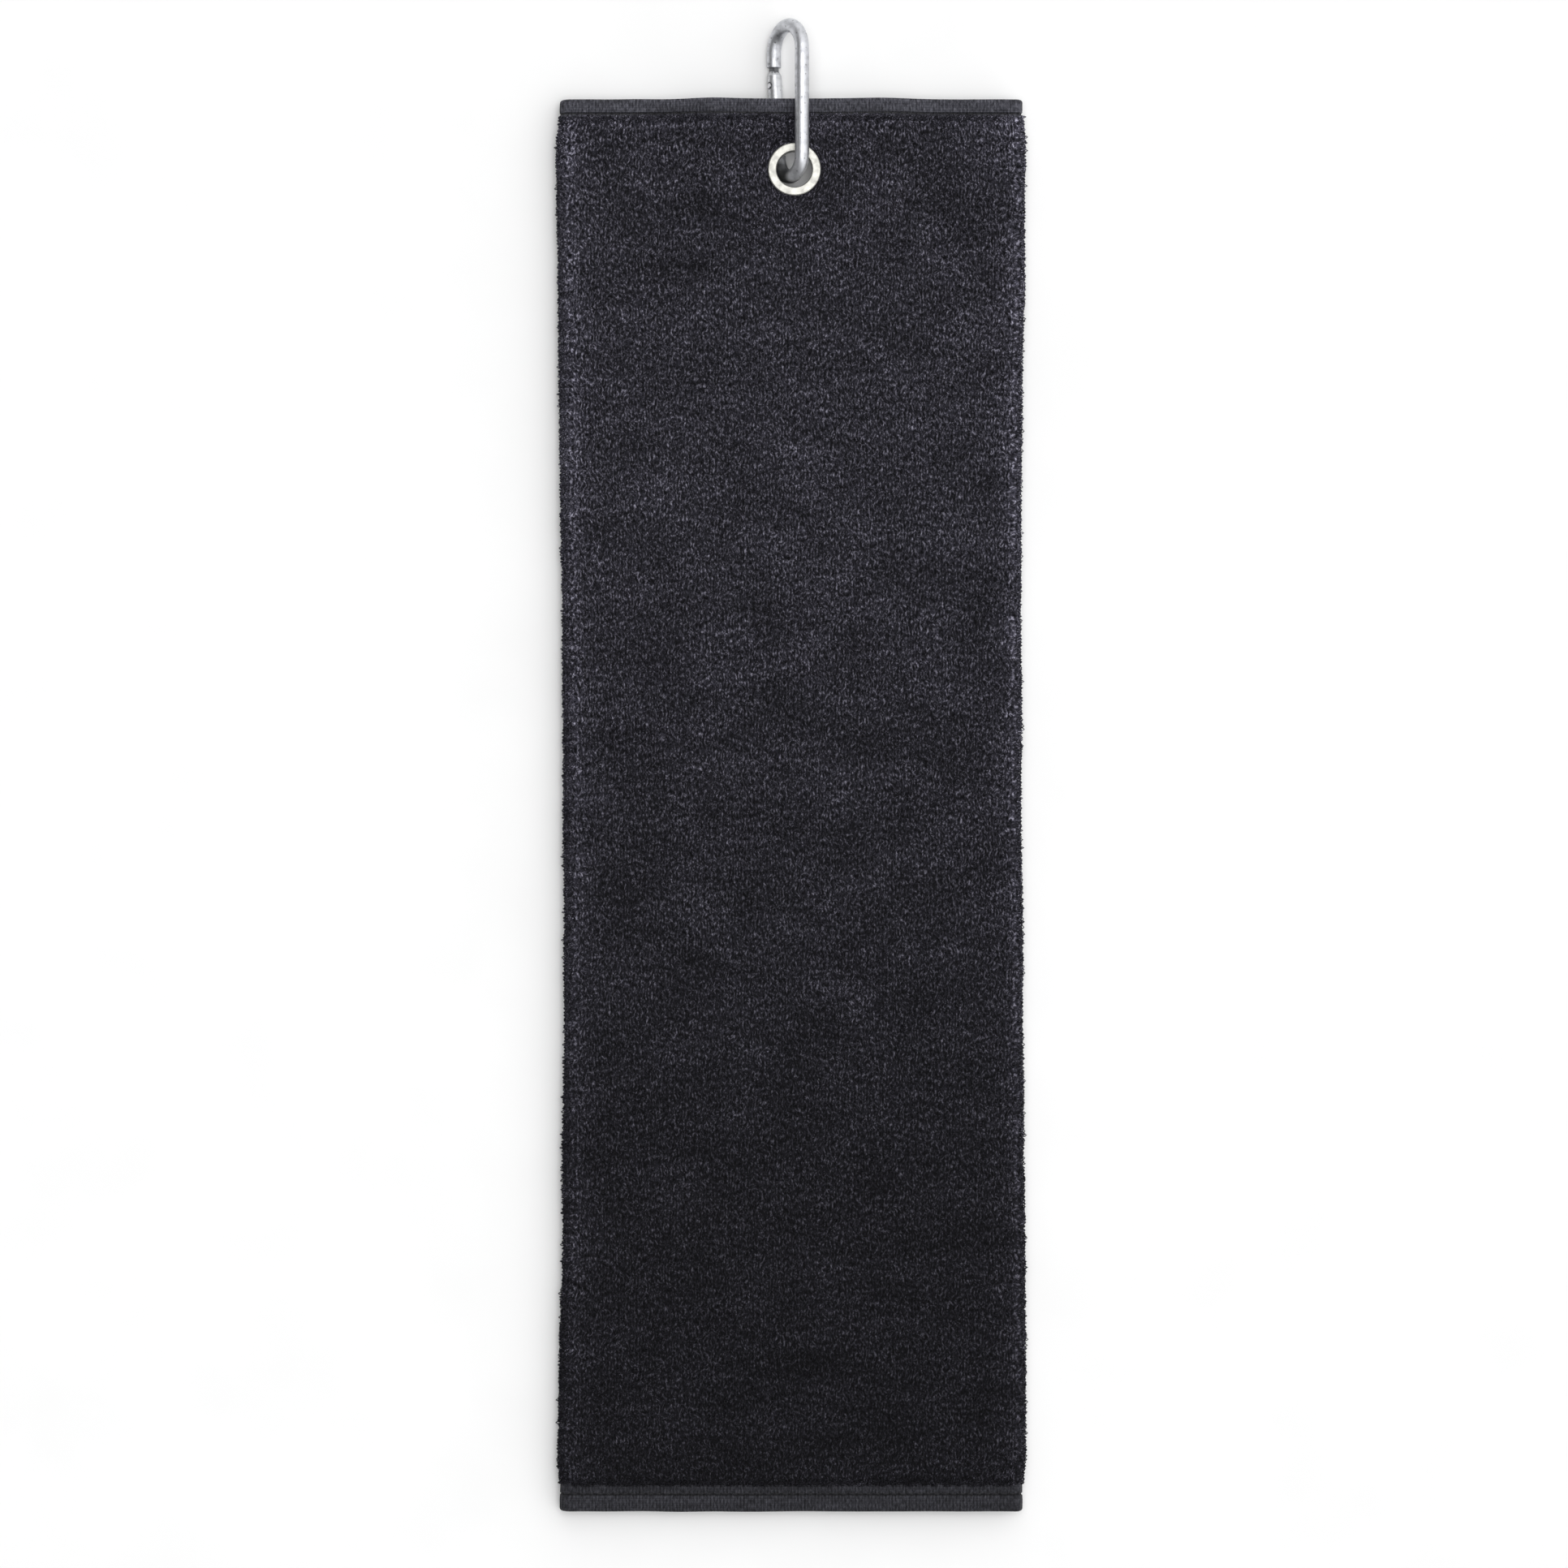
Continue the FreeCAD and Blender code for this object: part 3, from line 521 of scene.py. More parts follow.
def hem_material():
    """Flat woven band: fine upright ribs crossed by the weft, a little paler than the pile, with painted
    shadow along its stitches.
    """
    material, tree, shader = new_material("hem_ribbed_weave")
    place = cloth_place(tree)
    warp = speckle(tree, scaled(tree, place, *WARP), detail=2.0, roughness=0.6)
    weft = waves(tree, scaled(tree, place, *WEFT), distortion=1.0, direction="Y", detail_scale=2.0)
    fibre = speckle(tree, scaled(tree, place, *FIBRE), detail=3.0, roughness=0.6)
    weave = summed(tree, (warp, 0.7), (weft, 0.12), (fibre, 0.2))
    patches = speckle(tree, scaled(tree, place, *HEM_PATCHES), detail=3.0)
    from_stitches = maths(tree, "ABSOLUTE", add(tree, "ShaderNodeSeparateXYZ", Vector=place).outputs["Z"])
    # painted shadow: the band darkened along its line of stitches
    dent = maths(tree, "DIVIDE", from_stitches, STITCH_DENT_WIDTH)
    colour = ramp(tree, weave, *HEM_COLOURS)
    # the hems darker towards the bottom, as the pile is
    colour = shaded(tree, colour, ramp(tree, up_the_towel(tree, place), *HEM_DARKER_TOWARDS_BOTTOM))
    colour = shaded(tree, colour, ramp(tree, dent, *PAINTED_STITCH_SHADOW))
    colour = shaded(tree, colour, ramp(tree, patches, *HEM_PATCH_SHADES))
    tree.links.new(colour, shader.inputs["Base Color"])
    tree.links.new(ramp(tree, weave, *HEM_ROUGHNESS), shader.inputs["Roughness"])
    shader.inputs["Specular IOR Level"].default_value = 0.2
    shader.inputs["Sheen Weight"].default_value = 0.06
    shader.inputs["Sheen Roughness"].default_value = 0.5
    bump(tree, shader, weave, HEM_BUMP, strength=0.8)
    return material


def thread_material():
    """Sewing thread with slanting twist lines."""
    material, tree, shader = new_material("hem_sewing_thread")
    twist = waves(tree, scaled(tree, cloth_place(tree), *TWIST), distortion=0.6)
    tree.links.new(ramp(tree, twist, *THREAD_COLOURS), shader.inputs["Base Color"])
    tree.links.new(ramp(tree, twist, *THREAD_ROUGHNESS), shader.inputs["Roughness"])
    shader.inputs["Sheen Weight"].default_value = 0.05
    bump(tree, shader, twist, THREAD_BUMP, strength=0.7)
    return material


# ---------------------------------------------------------------- metal's material

METAL_CLOUD = 2.6 * MM, 2.6 * MM
METAL_SCRATCHES = 0.22 * MM, 7 * MM, 12
PIT_SPACING = 2.1 * MM
METAL_BUMP = 0.12 * MM
DEEP_TONE = 0.72
BRIGHT_TONE = 1.06
PIT_TONE = 0.30
# How dark the painted shade on the clip's heel and tongue makes the metal.
PAINTED_SHADE_TONE = 0.12

# Where painted shade darkens the clip's frame: on its heel down in the eyelet, and on its tongue past the
# gate's tip.
HEEL_PAST_EYELET = 2 * MM
HEEL_FADE = 2 * MM
HEEL_FADE_UP = 2.5 * MM
TONGUE_LENGTH = 10 * MM
TONGUE_SHOWS = 1.2 * MM
TONGUE_FADE = 0.3 * MM
TONGUE_FADE_ACROSS = 0.5 * MM


def toned(colour, tone):
    return tuple(min(1, tone * part) for part in colour)


def painted_shade_on_clip(tree, place):
    """1 where painted shade darkens the clip's frame and 0 elsewhere."""
    split = add(tree, "ShaderNodeSeparateXYZ", Vector=place)
    x, y, z = split.outputs["X"], split.outputs["Y"], split.outputs["Z"]
    heel = within(tree, y, clip_low.y, eyelet.y + HEEL_PAST_EYELET, HEEL_FADE)
    below_the_rim = within(tree, z, 0, eyelet_topside, HEEL_FADE_UP)
    tongue = within(tree, y, gate_high.y - TONGUE_LENGTH, gate_high.y + TONGUE_SHOWS, TONGUE_FADE)
    gate_side = within(tree, x, clip_low.x, gate_high.x, TONGUE_FADE_ACROSS)
    at_heel = maths(tree, "MULTIPLY", heel, below_the_rim)
    at_tongue = maths(tree, "MULTIPLY", tongue, gate_side)
    return maths(tree, "MAXIMUM", at_heel, at_tongue)


def metal_material(name, colour, dull, bright, scratch, dings, painted_shade=0.0):
    """Plated or tumbled metal: its roughness wanders, with hairline scratches and small pits, and painted
    shade on the clip's heel and tongue where asked.
    """
    material, tree, shader = new_material(name)
    place = add(tree, "ShaderNodeTexCoord").outputs["Object"]
    cloud = speckle(tree, scaled(tree, place, *METAL_CLOUD), detail=4.0, roughness=0.6)
    lines = speckle(tree, scaled(tree, place, *METAL_SCRATCHES), detail=3.0, roughness=0.7)
    cells = add(tree, "ShaderNodeMapping", Vector=place, Scale=(1 / PIT_SPACING,) * 3).outputs[0]
    pits = add(tree, "ShaderNodeTexVoronoi", Vector=cells, Scale=1.0).outputs["Distance"]
    pit = ramp(tree, pits, (0.0, dings), (0.13, dings * 0.6), (0.2, 0.0))
    tones = (0.3, toned(colour, DEEP_TONE)), (0.55, colour), (0.8, toned(colour, BRIGHT_TONE))
    finish = ramp(tree, cloud, *tones)
    finish = blended(tree, "MIX", pit, finish, toned(colour, PIT_TONE))
    # painted shade: the frame darkened on its heel in the eyelet and on its tongue
    if painted_shade:
        shade_share = maths(tree, "MULTIPLY", painted_shade_on_clip(tree, place), painted_shade)
        finish = blended(tree, "MIX", shade_share, finish, toned(colour, PAINTED_SHADE_TONE))
    tree.links.new(finish, shader.inputs["Base Color"])
    tree.links.new(ramp(tree, cloud, (0.3, dull), (0.75, bright)), shader.inputs["Roughness"])
    shader.inputs["Metallic"].default_value = 1.0
    relief = summed(tree, (lines, scratch), (pit, -1.0), (cloud, 0.6))
    bump(tree, shader, relief, METAL_BUMP, strength=0.5)
    return material


# ---------------------------------------------------------------- terry cloth

# How far apart the cloth's points lie: on the flap below, round each fold, on the seen panel and up the
# towel, and on the flap within.
PLAIN = 2.4 * MM
LEFT_TURN_STEPS = 20
FINE_ACROSS = 0.6 * MM
FINE_UP = 0.7 * MM
RIGHT_TURN_STEPS = 14
ROUGH = 6.4 * MM
COARSER = 8  # the hidden face has one point for so many of the outer face's, each way
HIDDEN_OFFSET = -half_cloth + 0.08 * MM

# The pile's relief, and the size of its clumps and strokes, across and up.
PILE_GRAIN = 0.10 * MM
PILE_CLUMPS = 0.16 * MM
PILE_CLUMP_SIZE = 3.4 * MM, 4.2 * MM
PILE_STROKES = 0.34 * MM
PILE_STROKE_SIZE = 0.95 * MM, 1.9 * MM
PILE_SLANT = 0.22
FOLD_CLUMPS = 0.55 * MM
FOLD_CLUMP_SIZE = 2.2 * MM, 1.5 * MM

# What the hems do to the pile beside them.
PRESSED = 0.28 * MM
PRESSED_REACH = 4 * MM
RAGGED = 0.9 * MM
RAGGED_REACH = 1.5 * MM
RAGGED_SIZE = 1.7 * MM, 4 * MM
END_TUCK = 0.9 * MM
END_TUCK_REACH = 9 * MM

# The slow rise and fall of the whole cloth.
PUFF = 0.45 * MM
PUFF_SIZE = 46 * MM, 34 * MM
PUFF_RIDGE_SIZE = 60 * MM, 13 * MM
CALM_ROUND_EYELET = 16 * MM
CALM_AT_ENDS = 12 * MM
CALM_FADE = 30 * MM


def puff(x, y):
    """The slow rise and fall of cloth that lies loosely, dying away round the eyelet and at the ends."""
    calm = smooth((math.hypot(x - eyelet.x, y - eyelet.y) - CALM_ROUND_EYELET) / CALM_FADE)
    bottom = smooth((y - bottom_edge - CALM_AT_ENDS) / CALM_FADE)
    top = smooth((top_edge - CALM_AT_ENDS - y) / CALM_FADE)
    slow = ripple(x / PUFF_SIZE[0], y / PUFF_SIZE[1], 3.0)
    slow += 0.5 * ripple(x / PUFF_RIDGE_SIZE[0], y / PUFF_RIDGE_SIZE[1], 8.0)
    return PUFF * slow * calm * bottom * top


def from_the_bands(y):
    """How far a place is from the nearer end of the pile."""
    return min(y - pile_foot, pile_top - y)


def tucked(y):
    """The sides draw in a little as they come to the hems."""
    return END_TUCK * (1 - smooth(from_the_bands(y) / END_TUCK_REACH))


def pile(along, y):
    """How far the pile's tips stand in or out: clumps of loops, slanting loops, and each loop's own length.
    The stitching holds the pile down beside the hems, and the folds open it."""
    clumps = ripple(along / PILE_CLUMP_SIZE[0], y / PILE_CLUMP_SIZE[1], 1.0)
    strokes = ripple((along + PILE_SLANT * y) / PILE_STROKE_SIZE[0], y / PILE_STROKE_SIZE[1], 6.0)
    held = PRESSED * (1 - smooth(from_the_bands(y) / PRESSED_REACH))
    sideways = abs(c_fold(along)[2])
    opened = FOLD_CLUMPS * sideways * ripple(along / FOLD_CLUMP_SIZE[0], y / FOLD_CLUMP_SIZE[1], 4.0)
    return PILE_CLUMPS * clumps + PILE_STROKES * strokes + PILE_GRAIN * random.uniform(-1, 1) + opened - held


def pile_point(along, y):
    """A point of the towel's outer face, among the tips of its pile."""
    x, _, _, facing = c_fold(along)
    relief = pile(along, y) + (puff(x, y) if facing > 0 else 0)
    near_end = 1 - smooth(from_the_bands(y) / RAGGED_REACH)
    ragged = RAGGED * near_end * ripple(along / RAGGED_SIZE[0], y / RAGGED_SIZE[1], 9.0)
    return cloth_point(along, y + ragged, half_cloth, relief, tucked(y))


def sheet_alongs():
    """The outer face's places along the C fold, in a whole number of the hidden face's wider steps."""
    spacings = (PLAIN, LEFT_TURN / LEFT_TURN_STEPS, FINE_ACROSS, RIGHT_TURN / RIGHT_TURN_STEPS, ROUGH)
    alongs = stations(spacings, RUNS)
    while (len(alongs) - 1) % COARSER:
        alongs = alongs[:-1] + [mixed(alongs[-2], alongs[-1], 0.5), alongs[-1]]
    return alongs


def grid_faces(alongs, ups, start, outward):
    """The faces between a grid's points, but for those that the eyelet's hole takes out."""
    wide = len(alongs)
    faces = []
    for row in range(len(ups) - 1):
        for n in range(wide - 1):
            if in_hole(alongs[n], alongs[n + 1], ups[row], ups[row + 1]):
                continue
            a = start + row * wide + n
            b = a + wide
            faces.append((a, b, b + 1, a + 1) if outward else (a, a + 1, b + 1, b))
    return faces


def rim_faces(across, rows, hidden_start):
    """The cloth's four edges, which join the outer face's close points to the hidden face's wider ones."""
    wide = (across - 1) // COARSER + 1
    tall = rows // COARSER + 1
    hidden_last = hidden_start + (tall - 1) * wide
    faces = []
    for n in range(wide - 1):
        low = [n * COARSER + k for k in range(COARSER + 1)]
        high = [rows * across + k for k in low]
        faces.append((*low, hidden_start + n + 1, hidden_start + n))
        faces.append((*reversed(high), hidden_last + n, hidden_last + n + 1))
    for n in range(tall - 1):
        near = [(n * COARSER + k) * across for k in range(COARSER + 1)]
        far = [k + across - 1 for k in near]
        start = hidden_start + n * wide
        faces.append((*reversed(near), start, start + wide))
        faces.append((*far, start + 2 * wide - 1, start + wide - 1))
    return faces


def terry_sheet():
    """The whole towel as one folded sheet: a pile-covered outer face, a plainer hidden face, and rims."""
    alongs = sheet_alongs()
    rows = COARSER * round(pile_length / FINE_UP / COARSER)
    ups = [pile_foot + pile_length * n / rows for n in range(rows + 1)]
    points, places = [], []
    for y in ups:
        for along in alongs:
            points.append(pile_point(along, y))
            places.append((along, y, 0))
    hidden_start = len(points)
    hidden_alongs, hidden_ups = alongs[::COARSER], ups[::COARSER]
    for y in hidden_ups:
        for along in hidden_alongs:
            points.append(cloth_point(along, y, HIDDEN_OFFSET, 0, tucked(y)))
            places.append((along, y, 1))
    faces = grid_faces(alongs, ups, 0, True)
    faces += grid_faces(hidden_alongs, hidden_ups, hidden_start, False)
    faces += rim_faces(len(alongs), rows, hidden_start)
    return mesh_object("terry_cloth", points, faces, terry, places)


# ---------------------------------------------------------------- hems

TOP_STITCHES = 4.9 * MM  # how far in from the towel's edge each row of stitches runs
BOTTOM_STITCHES = 6.0 * MM
BAND_LIP = 0.8 * MM  # the pile's ends hide this much of the band
BAND_FACE = 1.05 * MM
BAND_BACK = -1.35 * MM
BAND_INSET = 0.3 * MM
BAND_ROUND = 0.5 * MM
BAND_CROWN = 0.06 * MM
BAND_BACK_CROWN = 0.2 * MM
BAND_RIB = 1.2 * MM
BAND_RIB_DEPTH = 0.15 * MM
POINTS_A_RIB = 5
DENT_STEPS = 8
TURN_STEPS = 8
WRINKLES = 0.09 * MM
WRINKLE_SIZE = 2.6 * MM, 3 * MM
HIDDEN_RELIEF = 0.3
EDGE_WANDER = 0.45 * MM
EDGE_WANDER_RUN = 21 * MM
EDGE_OUT = 0.35 * MM
EDGE_DIP = 0.5 * MM
EDGE_DIP_AT = 3 * MM  # to the right of the eyelet's middle
EDGE_DIP_WIDTH = 22 * MM


def band_section(depth, stitches):
    """The turned hem seen end on, as (distance in from the towel's edge, offset from the cloth's middle
    line), with a dent along its line of stitches."""
    cap = (BAND_FACE - BAND_BACK) / 2
    middle = (BAND_FACE + BAND_BACK) / 2
    flat_start = cap * 1.5
    face = [(depth, BAND_FACE - BAND_ROUND), (depth - BAND_ROUND, BAND_FACE - BAND_ROUND / 5)]
    for n in range(DENT_STEPS + 1):
        away = (n / DENT_STEPS - 0.5) * STITCH_DENT_WIDTH
        dent = STITCH_DENT * math.cos(away / STITCH_DENT_WIDTH * math.pi) ** 2
        face.append((stitches - away, BAND_FACE - dent))
    face += [(mixed(flat_start, stitches, 0.5), BAND_FACE + BAND_CROWN), (flat_start, BAND_FACE)]
    turn = []
    for n in range(TURN_STEPS + 1):
        angle = math.pi * n / TURN_STEPS
        turn.append((cap - cap * math.sin(angle), middle + cap * math.cos(angle)))
    back = [(flat_start, BAND_BACK), (stitches, BAND_BACK + BAND_BACK_CROWN), (depth, BAND_BACK)]
    return face + turn + back


def edge_dip(along, inward):
    """The top edge sags a little where the clip's rod presses on it, and the bottom edge does not."""
    if inward > 0:
        return 0
    away = c_fold(along)[0] - eyelet.x - EDGE_DIP_AT
    return EDGE_DIP * math.exp(-((away / EDGE_DIP_WIDTH) ** 2))


def end_hem(name, edge, inward, depth, stitches):
    """A turned and sewn end of the cloth, following the same C fold as the terry and its side hems."""
    spacing = BAND_RIB / POINTS_A_RIB
    spacings = (spacing * 3, spacing, spacing, spacing, ROUGH)
    runs = (OUTER_RUN + OUTER_HEM_WIDTH, *RUNS[1:4], INNER_RUN + INNER_HEM_WIDTH)
    alongs = [place - OUTER_HEM_WIDTH for place in stations(spacings, runs)]
    section = band_section(depth, stitches)
    points, places = [], []
    for along in alongs:
        ribs = BAND_RIB_DEPTH * math.cos(math.tau * along / BAND_RIB)
        wander = ripple(along / EDGE_WANDER_RUN, 4.0, 0) * EDGE_WANDER - inward * EDGE_OUT
        for inward_by, offset in section:
            y = edge + inward * (inward_by + edge_dip(along, inward)) + wander * (1 - inward_by / depth)
            wrinkle = WRINKLES * ripple(along / WRINKLE_SIZE[0], inward_by / WRINKLE_SIZE[1], 2.0)
            relief = (ribs + wrinkle) * (1 if offset > 0 else HIDDEN_RELIEF)
            points.append(cloth_point(along, y, offset, relief, BAND_INSET))
            places.append((along, y, inward_by - stitches if offset > 0 else depth))
    faces = swept_faces(len(alongs), len(section))
    if inward < 0:
        faces = [tuple(reversed(face)) for face in faces]
    return mesh_object(name, points, faces, hem_weave, places)


def side_hem(name, low, high, height, free_side):
    """A turned and sewn long edge of the cloth, hidden behind the middle panel."""
    width = high.x - low.x
    count = round(pile_length / PLAIN)
    ups = [mixed(pile_foot, pile_top, n / count) for n in range(count + 1)]
    free, joined = (high.x, low.x) if free_side > 0 else (low.x, high.x)
    section = band_section(width, TOP_STITCHES)
    points, places = [], []
    for y in ups:
        ribs = BAND_RIB_DEPTH * math.cos(math.tau * y / BAND_RIB)
        for inward_by, offset in section:
            x = mixed(free, joined, inward_by / width)
            points.append(Vector((waist(x, y), y, height - offset - ribs * (1 if offset > 0 else 0))))
            places.append((y, x, inward_by - TOP_STITCHES if offset > 0 else width))
    faces = swept_faces(len(ups), len(section))
    if free_side < 0:
        faces = [tuple(reversed(face)) for face in faces]
    return mesh_object(name, points, faces, hem_weave, places)


# ---------------------------------------------------------------- stitches

THREAD_RADIUS = 0.21 * MM
THREAD_SIDES = 6
THREAD_RINGS = 7
THREAD_SINKS = 0.3 * MM  # below the bottom of the dent, at a stitch's two ends
STITCH_PITCH = 3.0 * MM
STITCH_LENGTH = 2.5 * MM
STITCH_ARCH = 0.45 * MM
STITCH_ARCH_FLATNESS = 0.6
STITCH_SLANT = 0.12 * MM


def stitch_row(name, edge, inward, stitches):
    """One row of lock stitches round the towel's outer face, each dipping into the hem at both ends."""
    points, faces, places = [], [], []
    row = edge + inward * stitches
    for n in range(int(sum(RUNS[:4]) / STITCH_PITCH)):
        along = STITCH_PITCH * (n + 0.5)
        slant = random.uniform(-STITCH_SLANT, STITCH_SLANT)
        line = []
        for ring in range(THREAD_RINGS):
            share = ring / (THREAD_RINGS - 1)
            arch = STITCH_ARCH * math.sin(math.pi * share) ** STITCH_ARCH_FLATNESS
            y = row + slant * (share - 0.5) + inward * edge_dip(along, inward)
            offset = BAND_FACE - STITCH_DENT - THREAD_SINKS + arch
            line.append(cloth_point(along + STITCH_LENGTH * share, y, offset, 0, BAND_INSET))
        tube(points, faces, places, line, THREAD_RADIUS, THREAD_SIDES, along)
    return mesh_object(name, points, faces, hem_thread, places)


# ---------------------------------------------------------------- loose loops of the pile

LOOP_RADIUS = 0.22 * MM
LOOP_SIDES = 3
LOOP_RINGS = 5
LOOP_ROOT = 0.25 * MM
LOOP_SKEW = 0.3

# Along the folds: rows between two shares of each fold's turn, with a loop pulled longer now and then.
LOOP_PITCH = 1.15 * MM
ROWS_ROUND_A_FOLD = 9
LOOPS_FROM_TO = 0.22, 0.88
FOLD_LOOP_HEIGHT = 0.35 * MM, 0.95 * MM
FOLD_LOOP_WIDTH = 0.6 * MM, 1.2 * MM
FOLD_LOOP_LEAN = -0.5, 0.5
PULLED_SHARE = 0.05
PULLED_BY = 0.6 * MM

# On the face: a share of them stand in a row beside the hems.
FACE_LOOPS = 6500
BESIDE_THE_HEMS = 0.25
EDGE_ROW = 1.6 * MM
FACE_LOOP_HEIGHT = 0.25 * MM, 0.5 * MM
FACE_LOOP_WIDTH = 0.7 * MM, 1.3 * MM
FACE_LOOP_LEAN = -1.5, 1.5


def pile_loop(points, faces, places, along, y, height, width, lean):
    """One loop of yarn standing out of the cloth, its two feet in it."""
    line = []
    for ring in range(LOOP_RINGS):
        angle = math.pi * ring / (LOOP_RINGS - 1)
        stand = -LOOP_ROOT + (height + LOOP_ROOT) * math.sin(angle)
        run = -math.cos(angle) * width / 2
        leant = along + lean * stand + run * LOOP_SKEW
        line.append(cloth_point(leant, y + run, half_cloth, stand, tucked(y)))
    tube(points, faces, places, line, LOOP_RADIUS, LOOP_SIDES, along)
    for index in range(LOOP_RINGS * LOOP_SIDES):
        places[-1 - index] = (along + index * LOOP_RADIUS, y, 0)


def fold_loops():
    """Loops that stand out along the two folded sides, where the bent cloth opens its pile, in terry painted
    lighter as sheen.
    """
    points, faces, places = [], [], []
    count = round(pile_length / LOOP_PITCH)
    for start, turn in ((OUTER_RUN, LEFT_TURN), (OUTER_RUN + LEFT_TURN + MIDDLE_RUN, RIGHT_TURN)):
        for row in range(ROWS_ROUND_A_FOLD):
            for n in range(count):
                share = mixed(*LOOPS_FROM_TO, (row + random.random()) / ROWS_ROUND_A_FOLD)
                y = pile_foot + LOOP_PITCH * (n + 0.2 + 0.6 * random.random())
                height = random.uniform(*FOLD_LOOP_HEIGHT)
                if random.random() < PULLED_SHARE:
                    height += PULLED_BY
                width = random.uniform(*FOLD_LOOP_WIDTH)
                lean = random.uniform(*FOLD_LOOP_LEAN)
                pile_loop(points, faces, places, start + turn * share, y, height, width, lean)
    return mesh_object("fold_pile_loops", points, faces, fold_terry_painted_lighter, places)


def face_loops():
    """Longer loops here and there on the face, and thickly along its two ends, where they hide the seams."""
    points, faces, places = [], [], []
    for index in range(FACE_LOOPS):
        along = OUTER_RUN + LEFT_TURN + MIDDLE_RUN * random.random()
        y = random.uniform(pile_foot, pile_top)
        if index < FACE_LOOPS * BESIDE_THE_HEMS:
            y = random.choice((pile_foot + random.random() * EDGE_ROW, pile_top - random.random() * EDGE_ROW))
        if math.hypot(c_fold(along)[0] - eyelet.x, y - eyelet.y) < HOLE_REACH:
            continue
        height = random.uniform(*FACE_LOOP_HEIGHT)
        width = random.uniform(*FACE_LOOP_WIDTH)
        lean = random.uniform(*FACE_LOOP_LEAN)
        pile_loop(points, faces, places, along, y, height, width, lean)
    return mesh_object("face_pile_loops", points, faces, terry, places)


# ---------------------------------------------------------------- the cloth's pieces put in place


def bends(piece):
    """Moves the piece's placing into its mesh."""
    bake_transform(piece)


terry = terry_material("terry_pile", brightness=1.0)
# A lighter copy of the terry: painted sheen for the loops round the folds.
fold_terry_painted_lighter = terry_material("terry_pile_painted_sheen", brightness=1.3)
hem_weave = hem_material()
hem_thread = thread_material()

cloth = terry_sheet()
top_hem = end_hem("top_hem_band", top_edge, -1, TOP_BAND + BAND_LIP, TOP_STITCHES)
bottom_hem = end_hem("bottom_hem_band", bottom_edge, 1, BOTTOM_BAND + BAND_LIP, BOTTOM_STITCHES)
outer_side = side_hem("outer_side_hem", outer_hem_low, outer_hem_high, half_cloth, 1)
inner_side = side_hem("inner_side_hem", inner_hem_low, inner_hem_high, layer_pitch + half_cloth, -1)
fold_pile = fold_loops()
face_pile = face_loops()
top_stitches = stitch_row("top_hem_stitches", top_edge, -1, TOP_STITCHES)
bottom_stitches = stitch_row("bottom_hem_stitches", bottom_edge, 1, BOTTOM_STITCHES)

LAYERS = "middle", "inner", "outer"
HALVES = "upper", "lower"
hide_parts(*(f"{layer}_panel_{half}" for layer in LAYERS for half in HALVES))
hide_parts(*(f"{side}_fold_{half}" for side in ("left", "right") for half in HALVES))
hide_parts(*(f"{layer}_top_hem" for layer in LAYERS))
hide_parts(*(f"{layer}_bottom_hem" for layer in LAYERS))
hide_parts("outer_side_hem_upper", "outer_side_hem_lower")
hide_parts("inner_side_hem_upper", "inner_side_hem_lower")
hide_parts("top_hem_thread")
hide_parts("bottom_hem_thread")
for piece in (cloth, fold_pile, face_pile, outer_side, inner_side):
    bends(piece)
for piece in (top_hem, top_stitches):
    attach(piece, "towel_upper")
for piece in (bottom_hem, bottom_stitches):
    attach(piece, "towel_lower")

# ---------------------------------------------------------------- metal

# The clip's frame carries painted shade on its heel and tongue.
aluminium = metal_material(
    "tumbled_aluminium", colour=(0.62, 0.63, 0.66), dull=0.54, bright=0.36, scratch=0.8, dings=0.85,
    painted_shade=0.85,
)
gate_aluminium = metal_material(
    "tumbled_aluminium_gate", colour=(0.66, 0.67, 0.69), dull=0.50, bright=0.34, scratch=0.8, dings=0.6,
)
nickel = metal_material(
    "nickel_plate", colour=(0.52, 0.515, 0.48), dull=0.55, bright=0.47, scratch=0.1, dings=0.0,
)
pin_steel = metal_material(
    "turned_steel", colour=(0.62, 0.62, 0.64), dull=0.38, bright=0.25, scratch=0.7, dings=0.3,
)
spring_steel = metal_material(
    "spring_wire", colour=(0.50, 0.50, 0.53), dull=0.40, bright=0.28, scratch=0.7, dings=0.2,
)
for names, material in (
    (("clip_frame",), aluminium),
    (("gate",), gate_aluminium),
    (("eyelet", "eyelet_washer"), nickel),
    (("gate_rivet", "latch_pin"), pin_steel),
    (("gate_spring", "spring_plunger"), spring_steel),
):
    for name in names:
        for material_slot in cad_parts[name].material_slots:
            material_slot.material = material

# ---------------------------------------------------------------- studio

FLOOR_REACH = 4.0
FLOOR_RINGS = 12
FLOOR_SPOKES = 48
FLOOR_FLAT_SHARE = 0.7  # past this share of its reach the floor rises to its rim
FLOOR_RIM = 0.5
FLOOR_GAP = 0.05 * MM
FLOOR_GRAIN = 40 * MM, 40 * MM
FLOOR_GREYS = (0.3, 0.855), (0.7, 0.875)
VIEW_WIDTH = 555.5 * MM
VIEW_CENTRE = Vector((-2.45 * MM, -6.75 * MM, 0))
CAMERA_HEIGHT = 1.9
BRIGHT_SIDE = (0.90, 0.42, 0.12)
BRIGHT_SIDE_STARTS = -0.12
BRIGHT_SIDE_FULL = 0.22
DARK_SIDE_GLOW = 0.13
BRIGHT_SIDE_GLOW = 1.33
LAMP_PLACE = Vector((0.1, 0.1, 2.6))
LAMP_TARGET = Vector((0, 0.02, 0))
LAMP_SIZE = 1.8
LAMP_ENERGY = 31


